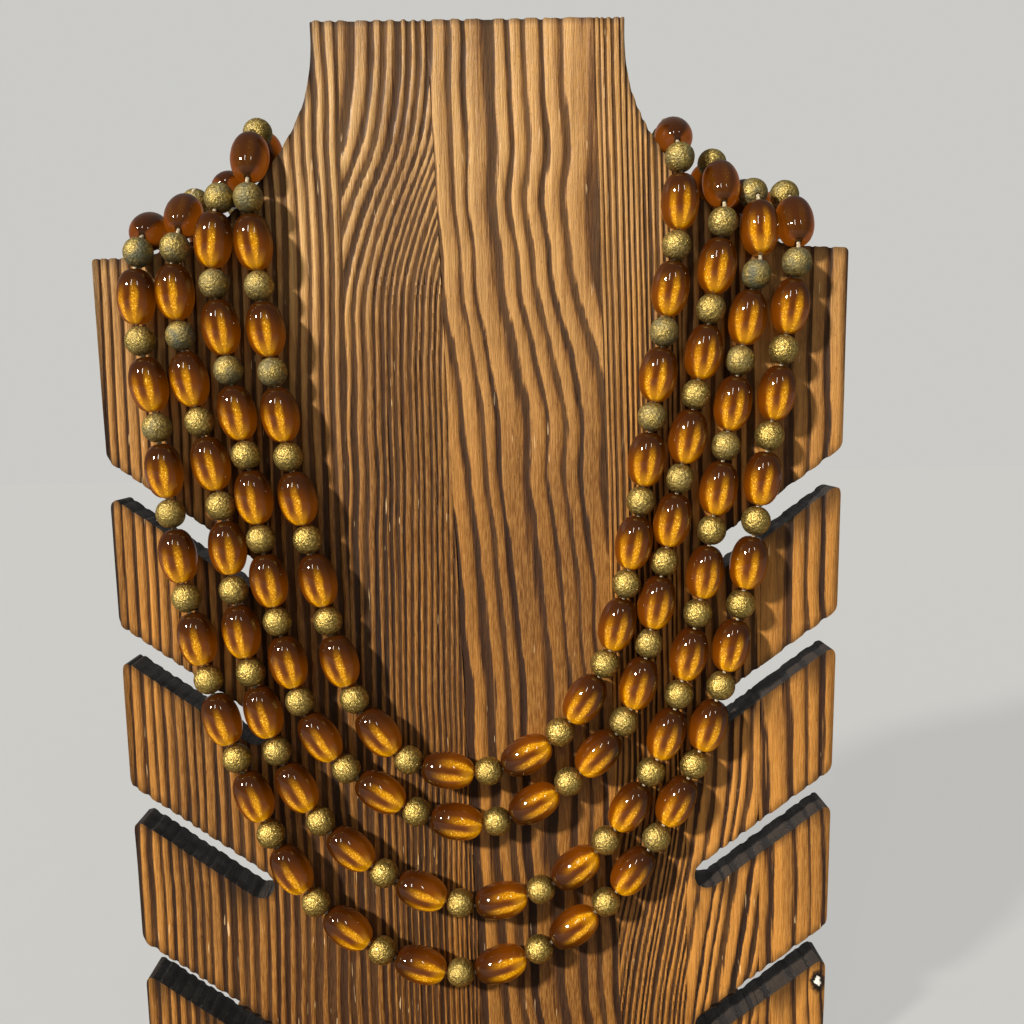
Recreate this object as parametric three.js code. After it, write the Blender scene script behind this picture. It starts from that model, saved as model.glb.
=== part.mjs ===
import * as THREE from 'three';

// ---------------------------------------------------------------- sizes, mm
// Board: front face towards -Y, width along X, height along Z.
const BOARD_THICK = 12.5;
const BOARD_BOTTOM = 7.3;
const BOARD_TOP = 303.3;
const SHOULDER_Z = 241.8;
const SHOULDER_HALF = 103.1;
const BOTTOM_HALF = 97.6;
const SHOULDER_CORNER = 1.2;
const BOTTOM_CORNER = 4;

// Slots: four a side, running down towards the middle of the board.
const SLOT_COUNT = 4;
const SLOT_PITCH = 45.2;
const SLOT_FIRST_Z = 186;
const SLOT_MOUTH_X = 100.5;
const SLOT_SLOPE = THREE.MathUtils.degToRad(35.8);
const SLOT_WIDTH = 7.5;
const SLOT_END_X = 64;
const SLOT_END_STEPS = 6;
const PANEL_TOP_CORNER = 2;
const PANEL_LOW_CORNER = 4.5;

// Right side of the neck and shoulder, from the top down.
const NECK_CURVE = [
  { x: 42.1, z: BOARD_TOP },
  { x: 42.1, z: 296 },
  { x: 43.4, z: 286 },
  { x: 46.8, z: 277 },
  { x: 53, z: 267 },
  { x: 62, z: 256.2 },
  { x: 73, z: 247.6 },
  { x: 84, z: 243.4 },
  { x: 93, z: 242.2 },
  { x: SHOULDER_HALF, z: SHOULDER_Z },
];
const NECK_STEPS = 3;

// Foot: plain plate with a groove for the board.
const FOOT_WIDTH = 160;
const FOOT_DEPTH = 90;
const FOOT_HEIGHT = 12;
const FOOT_EDGE = 1.5;
const GROOVE_DEPTH = 5;
const FIT_GAP = 0.3;

// Beads and thread.
const AMBER_LENGTH = 14.9;
const BRASS_LENGTH = 7.8;
const THREAD_RADIUS = 0.65;
const BEAD_SIDES = 7;
const AMBER_PROFILE = [
  { along: 0, radius: THREAD_RADIUS },
  { along: 0.1, radius: 3.6 },
  { along: 0.5, radius: 5.1 },
  { along: 0.9, radius: 3.6 },
  { along: 1, radius: THREAD_RADIUS },
];
const BRASS_PROFILE = [
  { along: 0, radius: THREAD_RADIUS },
  { along: 0.3, radius: 3.9 },
  { along: 0.7, radius: 3.9 },
  { along: 1, radius: THREAD_RADIUS },
];
const BEAD_STAND_OFF = 5.45;
const BEAD_PLANE = BOARD_THICK / 2 + BEAD_STAND_OFF;
const CORNER_DROP = 6.6;
const BACK_BULGE = 3;
const BACK_CREST = 10;
const BACK_SHIFT = 1.2;
const SADDLE_GAP = 1.3;
const SECTION_TRIM = 0.1;
const BACK_GAP = 0.15;

// Behind the neck.
const RING_X = 22;
const RING_Z = 262;
const RING_RADIUS = 4;
const RING_WIRE = 0.9;
const CHAIN_RADIUS = 1.1;
const CHAIN_SAG = 5;
const TAIL_LEAST = 5;

// The four strands. front: the line of the thread over the front face, from
// the left shoulder round to the right one. over: where it crosses the top
// edge. back: the line behind the board, from the edge to the end ring.
const STRANDS = [
  {
    name: 'A',
    count: 41,
    over: {
      left: { x: -88, forward: 3, up: 6.6, tilt: 20 },
      right: { x: 87.5, forward: 8.4, up: 5.6, tilt: 58 },
    },
    front: [
      { x: -90.5, z: 231 },
      { x: -86, z: 197 },
      { x: -79.5, z: 146 },
      { x: -67, z: 101 },
      { x: -46, z: 60 },
      { x: -8, z: 40 },
      { x: 31, z: 57 },
      { x: 56, z: 92 },
      { x: 70, z: 134 },
      { x: 80, z: 190 },
      { x: 86.5, z: 231 },
    ],
    back: [
      { x: 81, z: 231 },
      { x: 66, z: 227 },
      { x: 50, z: 229 },
      { x: 34, z: 238 },
    ],
  },
  {
    name: 'B',
    count: 37,
    over: {
      left: { x: -78, forward: 5, up: 7.6, tilt: 40 },
      right: { x: 77.2, forward: 11.6, up: 0.8, tilt: 80 },
    },
    front: [
      { x: -80, z: 238 },
      { x: -77, z: 210 },
      { x: -70, z: 177 },
      { x: -64, z: 131 },
      { x: -51, z: 93 },
      { x: -30, z: 71 },
      { x: -3, z: 60 },
      { x: 25, z: 69 },
      { x: 47, z: 97 },
      { x: 58, z: 131 },
      { x: 66, z: 176 },
      { x: 72, z: 211 },
      { x: 76.5, z: 236 },
    ],
    back: [
      { x: 71, z: 241 },
      { x: 56, z: 242 },
      { x: 40, z: 248 },
    ],
  },
  {
    name: 'C',
    count: 35,
    over: {
      left: { x: -66, forward: 0, up: 8, tilt: 4 },
      right: { x: 67.8, forward: 7, up: 7.6, tilt: 52 },
    },
    front: [
      { x: -69.5, z: 246 },
      { x: -67.5, z: 221 },
      { x: -61, z: 180 },
      { x: -56, z: 145 },
      { x: -46, z: 110 },
      { x: -27, z: 92 },
      { x: -2, z: 83 },
      { x: 24, z: 95 },
      { x: 41, z: 114 },
      { x: 49, z: 146 },
      { x: 56, z: 182 },
      { x: 63, z: 218 },
      { x: 67, z: 245 },
    ],
    back: [
      { x: 60, z: 254 },
      { x: 48, z: 255.5 },
      { x: 38, z: 258 },
    ],
  },
  {
    name: 'D',
    count: 33,
    over: {
      left: { x: -58.9, forward: 7.9, up: 8, tilt: 58 },
      right: { x: 55.6, forward: 3, up: 9, tilt: 24 },
    },
    front: [
      { x: -59, z: 255 },
      { x: -56, z: 225 },
      { x: -51, z: 188 },
      { x: -44, z: 154 },
      { x: -36, z: 122 },
      { x: -22, z: 103 },
      { x: -3, z: 98 },
      { x: 17, z: 105 },
      { x: 34, z: 127 },
      { x: 43, z: 163 },
      { x: 49, z: 203 },
      { x: 54, z: 236 },
      { x: 56.5, z: 255 },
    ],
    back: [
      { x: 48, z: 268 },
      { x: 38, z: 267.5 },
    ],
  },
];

// ------------------------------------------------------------------ finishes
const FINISHES = {
  board_wood: { color: 0xb07a3c, roughness: 0.45, metalness: 0 },
  amber_bead: { color: 0x9a4a10, roughness: 0.15, metalness: 0 },
  clasp_metal: { color: 0x8a7a50, roughness: 0.4, metalness: 1 },
};

function finish(name) {
  const material = new THREE.MeshStandardMaterial(FINISHES[name]);
  material.name = name;
  return material;
}

// --------------------------------------------------------------------- board
function rounded(points) {
  const out = [];
  points.forEach((point, i) => {
    const radius = point.radius ?? 0;
    if (radius === 0) {
      out.push(new THREE.Vector2(point.x, point.z));
      return;
    }
    const here = new THREE.Vector2(point.x, point.z);
    const prev = points[(i + points.length - 1) % points.length];
    const next = points[(i + 1) % points.length];
    const back = new THREE.Vector2(prev.x, prev.z).sub(here).normalize();
    const ahead = new THREE.Vector2(next.x, next.z).sub(here).normalize();
    const half = Math.acos(THREE.MathUtils.clamp(back.dot(ahead), -1, 1)) / 2;
    const reach = radius / Math.tan(half);
    const centre = back.clone().add(ahead).normalize();
    centre.multiplyScalar(radius / Math.sin(half)).add(here);
    const from = here.clone().addScaledVector(back, reach).sub(centre);
    const to = here.clone().addScaledVector(ahead, reach).sub(centre);
    const start = from.angle();
    let sweep = to.angle() - start;
    if (sweep > Math.PI) sweep -= 2 * Math.PI;
    if (sweep < -Math.PI) sweep += 2 * Math.PI;
    const steps = Math.max(2, Math.round(radius));
    for (let k = 0; k <= steps; k += 1) {
      const angle = start + (sweep * k) / steps;
      out.push(new THREE.Vector2(Math.cos(angle), Math.sin(angle))
        .multiplyScalar(radius).add(centre));
    }
  });
  return out;
}

function sideX(z) {
  const share = (SHOULDER_Z - z) / (SHOULDER_Z - BOARD_BOTTOM);
  return THREE.MathUtils.lerp(SHOULDER_HALF, BOTTOM_HALF, share);
}

// The slot edge is z = mouthZ - (SLOT_MOUTH_X - x) * slope; this is where it
// meets the slightly tapering side of the board.
function slotMouth(mouthZ) {
  const slope = Math.tan(SLOT_SLOPE);
  let z = mouthZ;
  for (let k = 0; k < 8; k += 1) z = mouthZ - (SLOT_MOUTH_X - sideX(z)) * slope;
  return { x: sideX(z), z };
}

function slotPoints(index) {
  const slope = Math.tan(SLOT_SLOPE);
  const upperZ = SLOT_FIRST_Z - index * SLOT_PITCH;
  const lowerZ = upperZ - SLOT_WIDTH / Math.cos(SLOT_SLOPE);
  const midZ = (upperZ + lowerZ) / 2;
  const endZ = midZ - (SLOT_MOUTH_X - SLOT_END_X) * slope;
  const points = [{ ...slotMouth(upperZ), radius: PANEL_LOW_CORNER }];
  const first = Math.PI / 2 + SLOT_SLOPE;
  for (let k = 0; k <= SLOT_END_STEPS; k += 1) {
    const angle = first + (Math.PI * k) / SLOT_END_STEPS;
    points.push({
      x: SLOT_END_X + (SLOT_WIDTH / 2) * Math.cos(angle),
      z: endZ + (SLOT_WIDTH / 2) * Math.sin(angle),
    });
  }
  points.push({ ...slotMouth(lowerZ), radius: PANEL_TOP_CORNER });
  return points;
}

function neckLine() {
  const curve = new THREE.CatmullRomCurve3(
    NECK_CURVE.map((p) => new THREE.Vector3(p.x, 0, p.z)), false, 'centripetal');
  return curve.getPoints((NECK_CURVE.length - 1) * NECK_STEPS);
}

function boardOutline() {
  const half = neckLine().map((p) => ({ x: p.x, z: p.z }));
  half[half.length - 1].radius = SHOULDER_CORNER;
  for (let i = 0; i < SLOT_COUNT; i += 1) half.push(...slotPoints(i));
  half.push({ x: BOTTOM_HALF, z: BOARD_BOTTOM, radius: BOTTOM_CORNER });
  const mirrored = half.map((p) => ({ ...p, x: -p.x })).reverse();
  return rounded([...half, ...mirrored]);
}

function extrudeAlongY(points, depth) {
  const shape = new THREE.Shape(points);
  const geometry = new THREE.ExtrudeGeometry(shape, {
    depth, bevelEnabled: false, curveSegments: 1,
  });
  geometry.translate(0, 0, -depth / 2);
  geometry.rotateX(Math.PI / 2);
  return geometry;
}

// ---------------------------------------------------------------------- foot
function footGeometry() {
  const deep = FOOT_DEPTH / 2;
  const groove = BOARD_THICK / 2 + FIT_GAP;
  const floor = FOOT_HEIGHT - GROOVE_DEPTH;
  const profile = [
    { x: -deep, z: 0 },
    { x: deep, z: 0 },
    { x: deep, z: FOOT_HEIGHT - FOOT_EDGE },
    { x: deep - FOOT_EDGE, z: FOOT_HEIGHT },
    { x: groove, z: FOOT_HEIGHT },
    { x: groove, z: floor },
    { x: -groove, z: floor },
    { x: -groove, z: FOOT_HEIGHT },
    { x: -deep + FOOT_EDGE, z: FOOT_HEIGHT },
    { x: -deep, z: FOOT_HEIGHT - FOOT_EDGE },
  ].map((p) => new THREE.Vector2(p.x, p.z));
  const geometry = extrudeAlongY(profile, FOOT_WIDTH);
  geometry.rotateZ(Math.PI / 2);
  return geometry;
}

// -------------------------------------------------------------------- routes
function topEdgeAt(x) {
  const line = neckLine();
  const at = Math.abs(x);
  for (let i = 1; i < line.length; i += 1) {
    if (line[i].x >= at && line[i].x > line[i - 1].x) {
      const share = (at - line[i - 1].x) / (line[i].x - line[i - 1].x);
      return THREE.MathUtils.lerp(line[i - 1].z, line[i].z, share);
    }
  }
  return SHOULDER_Z;
}

// The bead that lies over the top edge of the board: its middle, and the way
// its thread runs, from the front end to the back one.
function saddle(over) {
  const tilt = THREE.MathUtils.degToRad(over.tilt);
  return {
    middle: new THREE.Vector3(over.x, -over.forward, topEdgeAt(over.x) + over.up),
    way: new THREE.Vector3(0, Math.cos(tilt), Math.sin(tilt)),
  };
}

function saddleEnd(over, side, beyond = 0) {
  const { middle, way } = saddle(over);
  return middle.clone().addScaledVector(way, side * (AMBER_LENGTH / 2 + beyond));
}

function smooth(points) {
  return new THREE.CatmullRomCurve3(points, false, 'centripetal');
}

function frontRoute(strand) {
  const flat = strand.front.map((p) => new THREE.Vector3(p.x, -BEAD_PLANE, p.z));
  const left = saddleEnd(strand.over.left, -1, SADDLE_GAP);
  const right = saddleEnd(strand.over.right, -1, SADDLE_GAP);
  const turn = (end, next) => new THREE.Vector3(
    THREE.MathUtils.lerp(end.x, next.x, 0.5),
    -BEAD_PLANE - 0.2,
    Math.max(end.z - CORNER_DROP, (end.z + next.z) / 2));
  return smooth([
    left, turn(left, flat[0]), ...flat, turn(right, flat[flat.length - 1]), right,
  ]);
}

function ringCentre(side) {
  return new THREE.Vector3(side * RING_X, BEAD_PLANE, RING_Z);
}

function backRoute(strand, side) {
  const over = side < 0 ? strand.over.left : strand.over.right;
  const start = saddleEnd(over, 1, SADDLE_GAP);
  const edge = topEdgeAt(over.x);
  const x = start.x - side * BACK_SHIFT;
  const turn = [];
  if (start.y < BACK_CREST / 2) {
    turn.push(new THREE.Vector3(x, start.y / 2 + 3, start.z + BACK_BULGE));
    turn.push(new THREE.Vector3(x, BEAD_PLANE, edge + BACK_CREST));
  }
  turn.push(new THREE.Vector3(x, BEAD_PLANE + BACK_BULGE, edge));
  const flat = strand.back.map((p) => new THREE.Vector3(side * p.x, BEAD_PLANE, p.z));
  const centre = ringCentre(side);
  const last = flat[flat.length - 1];
  const reach = RING_RADIUS + RING_WIRE + THREAD_RADIUS + FIT_GAP;
  const stop = last.clone().sub(centre).setLength(reach).add(centre);
  return smooth([start, ...turn, ...flat, stop]);
}

// --------------------------------------------------------------------- beads
const AMBER = { length: AMBER_LENGTH, profile: AMBER_PROFILE };
const BRASS = { length: BRASS_LENGTH, profile: BRASS_PROFILE };

function densely(route) {
  return route.getPoints(900);
}

// First place after `from` on the line whose straight distance is `span`.
function stepAlong(line, from, span) {
  let i = from.index;
  while (i < line.length && line[i].distanceTo(from.point) < span) i += 1;
  if (i >= line.length) return null;
  const a = i > 0 ? line[i - 1] : from.point;
  const b = line[i];
  let low = 0;
  let high = 1;
  for (let k = 0; k < 30; k += 1) {
    const mid = (low + high) / 2;
    if (a.clone().lerp(b, mid).distanceTo(from.point) < span) low = mid;
    else high = mid;
  }
  return { index: i, point: a.clone().lerp(b, high) };
}

function layBeads(line, kinds, gap) {
  const beads = [];
  let spot = { index: 0, point: line[0] };
  for (const kind of kinds) {
    const start = beads.length === 0 ? spot : stepAlong(line, spot, gap);
    const end = start && stepAlong(line, start, kind.length);
    if (!end) return { beads, left: -1 };
    beads.push({ kind, start: start.point, end: end.point });
    spot = end;
  }
  let left = spot.point.distanceTo(line[Math.min(spot.index, line.length - 1)]);
  for (let i = spot.index + 1; i < line.length; i += 1) {
    left += line[i].distanceTo(line[i - 1]);
  }
  return { beads, left };
}

// Opens or closes the gaps so that the row just fills the line.
function fillLine(line, kinds) {
  let low = 0.01;
  let high = 1.2;
  for (let k = 0; k < 40; k += 1) {
    const gap = (low + high) / 2;
    if (layBeads(line, kinds, gap).left < 0) high = gap;
    else low = gap;
  }
  return { ...layBeads(line, kinds, low), gap: low };
}

function alternating(first, count) {
  const other = first === AMBER ? BRASS : AMBER;
  return Array.from({ length: count }, (_, i) => (i % 2 === 0 ? first : other));
}

function frontBeads(strand) {
  return fillLine(densely(frontRoute(strand)), alternating(BRASS, strand.count));
}

function backBeads(strand, side) {
  const line = densely(backRoute(strand, side));
  let best = null;
  for (let count = 1; count < 20; count += 2) {
    const row = layBeads(line, alternating(BRASS, count), BACK_GAP);
    if (row.left < TAIL_LEAST) break;
    best = row;
  }
  const last = best.beads[best.beads.length - 1].end;
  const from = line.findIndex((p, i) => i > 0
    && p.distanceTo(line[0]) > last.distanceTo(line[0])
    && p.distanceTo(last) < 1);
  best.tail = line.slice(Math.max(from, 0)).filter(
    (p, i, all) => p.distanceTo(last) > 1 && (i % 30 === 0 || i === all.length - 1));
  return best;
}

// ------------------------------------------------------------------- sweeps
// The two outer ends are trimmed a little so that neighbouring pieces of one
// strand stay apart.
function ringsOf(beads) {
  const rings = [];
  for (const bead of beads) {
    const along = bead.end.clone().sub(bead.start);
    for (const row of bead.kind.profile) {
      rings.push({
        centre: bead.start.clone().addScaledVector(along, row.along),
        radius: row.radius,
        direction: along.clone().normalize(),
      });
    }
  }
  const first = rings[0];
  const last = rings[rings.length - 1];
  first.centre.addScaledVector(first.direction, SECTION_TRIM);
  last.centre.addScaledVector(last.direction, -SECTION_TRIM);
  return rings;
}

function sweep(rings, sides = BEAD_SIDES) {
  const positions = [];
  const indices = [];
  let across = new THREE.Vector3(0, 1, 0);
  if (Math.abs(rings[0].direction.y) > 0.9) across = new THREE.Vector3(1, 0, 0);
  rings.forEach((ring) => {
    across.addScaledVector(ring.direction, -across.dot(ring.direction)).normalize();
    const third = ring.direction.clone().cross(across);
    for (let k = 0; k < sides; k += 1) {
      const angle = (2 * Math.PI * k) / sides;
      const p = ring.centre.clone()
        .addScaledVector(across, ring.radius * Math.cos(angle))
        .addScaledVector(third, ring.radius * Math.sin(angle));
      positions.push(p.x, p.y, p.z);
    }
  });
  for (let r = 0; r + 1 < rings.length; r += 1) {
    for (let k = 0; k < sides; k += 1) {
      const a = r * sides + k;
      const b = r * sides + ((k + 1) % sides);
      indices.push(a, b, b + sides, a, b + sides, a + sides);
    }
  }
  const last = (rings.length - 1) * sides;
  for (let k = 1; k + 1 < sides; k += 1) {
    indices.push(0, k + 1, k);
    indices.push(last, last + k, last + k + 1);
  }
  const geometry = new THREE.BufferGeometry();
  geometry.setAttribute('position', new THREE.Float32BufferAttribute(positions, 3));
  geometry.setIndex(indices);
  geometry.computeVertexNormals();
  return geometry;
}

function tubeRings(points, radius) {
  return points.map((centre, i) => {
    const before = points[Math.max(i - 1, 0)];
    const after = points[Math.min(i + 1, points.length - 1)];
    return { centre, radius, direction: after.clone().sub(before).normalize() };
  });
}

// ------------------------------------------------------------------ assembly
const group = new THREE.Group();
group.name = 'beaded_necklace_on_bust_board';

function add(name, geometry, finishName) {
  const mesh = new THREE.Mesh(geometry, finish(finishName));
  mesh.name = name;
  group.add(mesh);
}

add('board', extrudeAlongY(boardOutline(), BOARD_THICK), 'board_wood');
add('foot', footGeometry(), 'board_wood');

for (const strand of STRANDS) {
  const row = frontBeads(strand);
  const third = Math.round(strand.count * 0.36);
  const low = third - (third % 2);
  const sections = [
    { name: 'left', beads: row.beads.slice(0, low) },
    { name: 'bottom', beads: row.beads.slice(low, strand.count - low) },
    { name: 'right', beads: row.beads.slice(strand.count - low) },
  ];
  for (const section of sections) {
    add(`strand_${strand.name}_${section.name}`, sweep(ringsOf(section.beads)), 'amber_bead');
  }
  for (const side of [-1, 1]) {
    const word = side < 0 ? 'left' : 'right';
    const over = side < 0 ? strand.over.left : strand.over.right;
    const start = saddleEnd(over, -1);
    const end = saddleEnd(over, 1);
    add(`strand_${strand.name}_over_${word}`,
      sweep(ringsOf([{ kind: AMBER, start, end }])), 'amber_bead');
    const back = backBeads(strand, side);
    const rings = [...ringsOf(back.beads), ...tubeRings(back.tail, THREAD_RADIUS)];
    add(`strand_${strand.name}_back_${word}`, sweep(rings), 'amber_bead');
  }
}

for (const side of [-1, 1]) {
  const ring = new THREE.TorusGeometry(RING_RADIUS, RING_WIRE, 6, 20);
  ring.rotateX(Math.PI / 2);
  const centre = ringCentre(side);
  ring.translate(centre.x, centre.y, centre.z);
  add(side < 0 ? 'end_ring_left' : 'end_ring_right', ring, 'clasp_metal');
}

const chainEnd = RING_X - RING_RADIUS - RING_WIRE - 2 * FIT_GAP;
const chainLine = smooth([
  new THREE.Vector3(-chainEnd, BEAD_PLANE, RING_Z - 0.4),
  new THREE.Vector3(0, BEAD_PLANE, RING_Z - CHAIN_SAG),
  new THREE.Vector3(chainEnd, BEAD_PLANE, RING_Z - 0.4),
]);
add('clasp', sweep(tubeRings(chainLine.getPoints(12), CHAIN_RADIUS), 8), 'clasp_metal');

export default group;
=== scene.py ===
"""Four strings of amber coloured and brass beads on a brushed pine bust board."""

import logging  # noqa: E402
import math  # noqa: E402
from dataclasses import dataclass, field  # noqa: E402
from enum import Enum  # noqa: E402
from typing import Callable, Iterable, Sequence  # noqa: E402

import bpy  # noqa: E402
import numpy as np  # noqa: E402
from mathutils import Euler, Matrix, Vector  # noqa: E402
from mathutils.kdtree import KDTree  # noqa: E402

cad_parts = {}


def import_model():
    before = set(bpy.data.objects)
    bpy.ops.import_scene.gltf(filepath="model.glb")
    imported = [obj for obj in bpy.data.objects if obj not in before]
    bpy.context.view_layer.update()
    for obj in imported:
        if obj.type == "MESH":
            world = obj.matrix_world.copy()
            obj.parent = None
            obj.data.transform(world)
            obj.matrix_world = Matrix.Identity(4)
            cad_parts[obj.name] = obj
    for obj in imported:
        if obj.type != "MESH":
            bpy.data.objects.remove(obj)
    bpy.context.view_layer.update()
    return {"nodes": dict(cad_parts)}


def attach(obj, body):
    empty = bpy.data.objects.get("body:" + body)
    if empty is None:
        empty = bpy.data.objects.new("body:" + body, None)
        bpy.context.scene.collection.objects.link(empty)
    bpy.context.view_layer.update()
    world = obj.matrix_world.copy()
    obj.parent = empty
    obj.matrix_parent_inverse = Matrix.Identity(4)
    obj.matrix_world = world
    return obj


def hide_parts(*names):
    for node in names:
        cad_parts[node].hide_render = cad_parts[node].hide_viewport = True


LOG = logging.getLogger("bead_necklace")
MM = 0.001
BODY = "root"

Points = np.ndarray
Colour = tuple[float, float, float]
Paint = tuple[int, int, int]


# --------------------------------------------------------------------------
# Small helpers
# --------------------------------------------------------------------------
def srgb(red: int, green: int, blue: int) -> tuple[float, float, float, float]:
    """Turns a screen colour into a linear one.

    Args:
        red: Red, 0 to 255.
        green: Green, 0 to 255.
        blue: Blue, 0 to 255.

    Returns:
        The linear colour with alpha 1.
    """
    def linear(value: int) -> float:
        """One channel."""
        part = value / 255
        return part / 12.92 if part <= 0.04045 else ((part + 0.055) / 1.055) ** 2.4

    return (linear(red), linear(green), linear(blue), 1.0)


def smoothstep(low: float, high: float, value: np.ndarray) -> np.ndarray:
    """Eases from 0 at low to 1 at high.

    Args:
        low: Where the rise starts.
        high: Where it ends.
        value: The values to ease.

    Returns:
        The eased values.
    """
    part = np.clip((np.asarray(value, float) - low) / (high - low), 0.0, 1.0)
    return part * part * (3.0 - 2.0 * part)


def hashed(cell: np.ndarray, seed: int) -> np.ndarray:
    """A repeatable value from -1 to 1 for each whole number.

    Args:
        cell: Whole numbers.
        seed: Chooses another series.

    Returns:
        One value for each number.
    """
    mixed = np.sin(cell * 127.1 + seed * 311.7) * 43758.5453
    return 2.0 * (mixed - np.floor(mixed)) - 1.0


def value_noise(first: np.ndarray, second: np.ndarray, seed: int) -> np.ndarray:
    """Smooth two way noise from -1 to 1.

    Args:
        first: Place along the first way.
        second: Place along the second way.
        seed: Chooses another field.

    Returns:
        The noise at each place.
    """
    first, second = np.broadcast_arrays(
        np.asarray(first, float), np.asarray(second, float))
    i, j = np.floor(first), np.floor(second)
    u, v = smoothstep(0, 1, first - i), smoothstep(0, 1, second - j)

    def corner(di: int, dj: int) -> np.ndarray:
        """The value at one corner of the cell."""
        return hashed((i + di) + 57.0 * (j + dj), seed)

    low = corner(0, 0) * (1 - u) + corner(1, 0) * u
    high = corner(0, 1) * (1 - u) + corner(1, 1) * u
    return low * (1 - v) + high * v


def linked(name: str, data: bpy.types.ID) -> bpy.types.Object:
    """A new object that shows some data, linked to the scene.

    Args:
        name: Its name.
        data: The mesh, light or camera.

    Returns:
        The object.
    """
    made = bpy.data.objects.new(name, data)
    bpy.context.scene.collection.objects.link(made)
    return made


def mesh_object(
    name: str,
    verts: Points,
    faces: Iterable[Sequence[int]],
    smooth: bool = True,
) -> bpy.types.Object:
    """Makes a mesh object from points in millimetres.

    Args:
        name: The piece's name.
        verts: Points in millimetres.
        faces: Corner numbers of each face.
        smooth: Whether its faces are shaded smooth.

    Returns:
        The new object, linked to the scene.
    """
    mesh = bpy.data.meshes.new(name)
    mesh.from_pydata((np.asarray(verts, float) * MM).tolist(), [], list(faces))
    mesh.update()
    if smooth:
        mesh.shade_smooth()
    return linked(name, mesh)


def store(mesh: bpy.types.Mesh, name: str, values: np.ndarray) -> None:
    """Writes one number for each point of a mesh.

    Args:
        mesh: The mesh.
        name: The attribute's name.
        values: One number a point.
    """
    layer = mesh.attributes.new(name, "FLOAT", "POINT")
    layer.data.foreach_set("value", np.asarray(values, np.float32).ravel())


def places(mesh: bpy.types.Mesh) -> Points:
    """The points of a mesh in millimetres.

    Args:
        mesh: The mesh.

    Returns:
        One row for each point.
    """
    flat = np.empty(len(mesh.vertices) * 3)
    mesh.vertices.foreach_get("co", flat)
    return flat.reshape(-1, 3) / MM


def seat(
    piece: bpy.types.Object,
    nodes: Sequence[str],
    materials: Sequence[bpy.types.Material],
) -> None:
    """Puts a finished piece on the frame.

    Args:
        piece: The piece.
        nodes: CAD nodes that it stands for.
        materials: Its materials, in slot order.
    """
    for material in materials:
        piece.data.materials.append(material)
    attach(piece, BODY)
    if nodes:
        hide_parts(*nodes)
    LOG.info("%s: %d faces", piece.name, len(piece.data.polygons))


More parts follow.
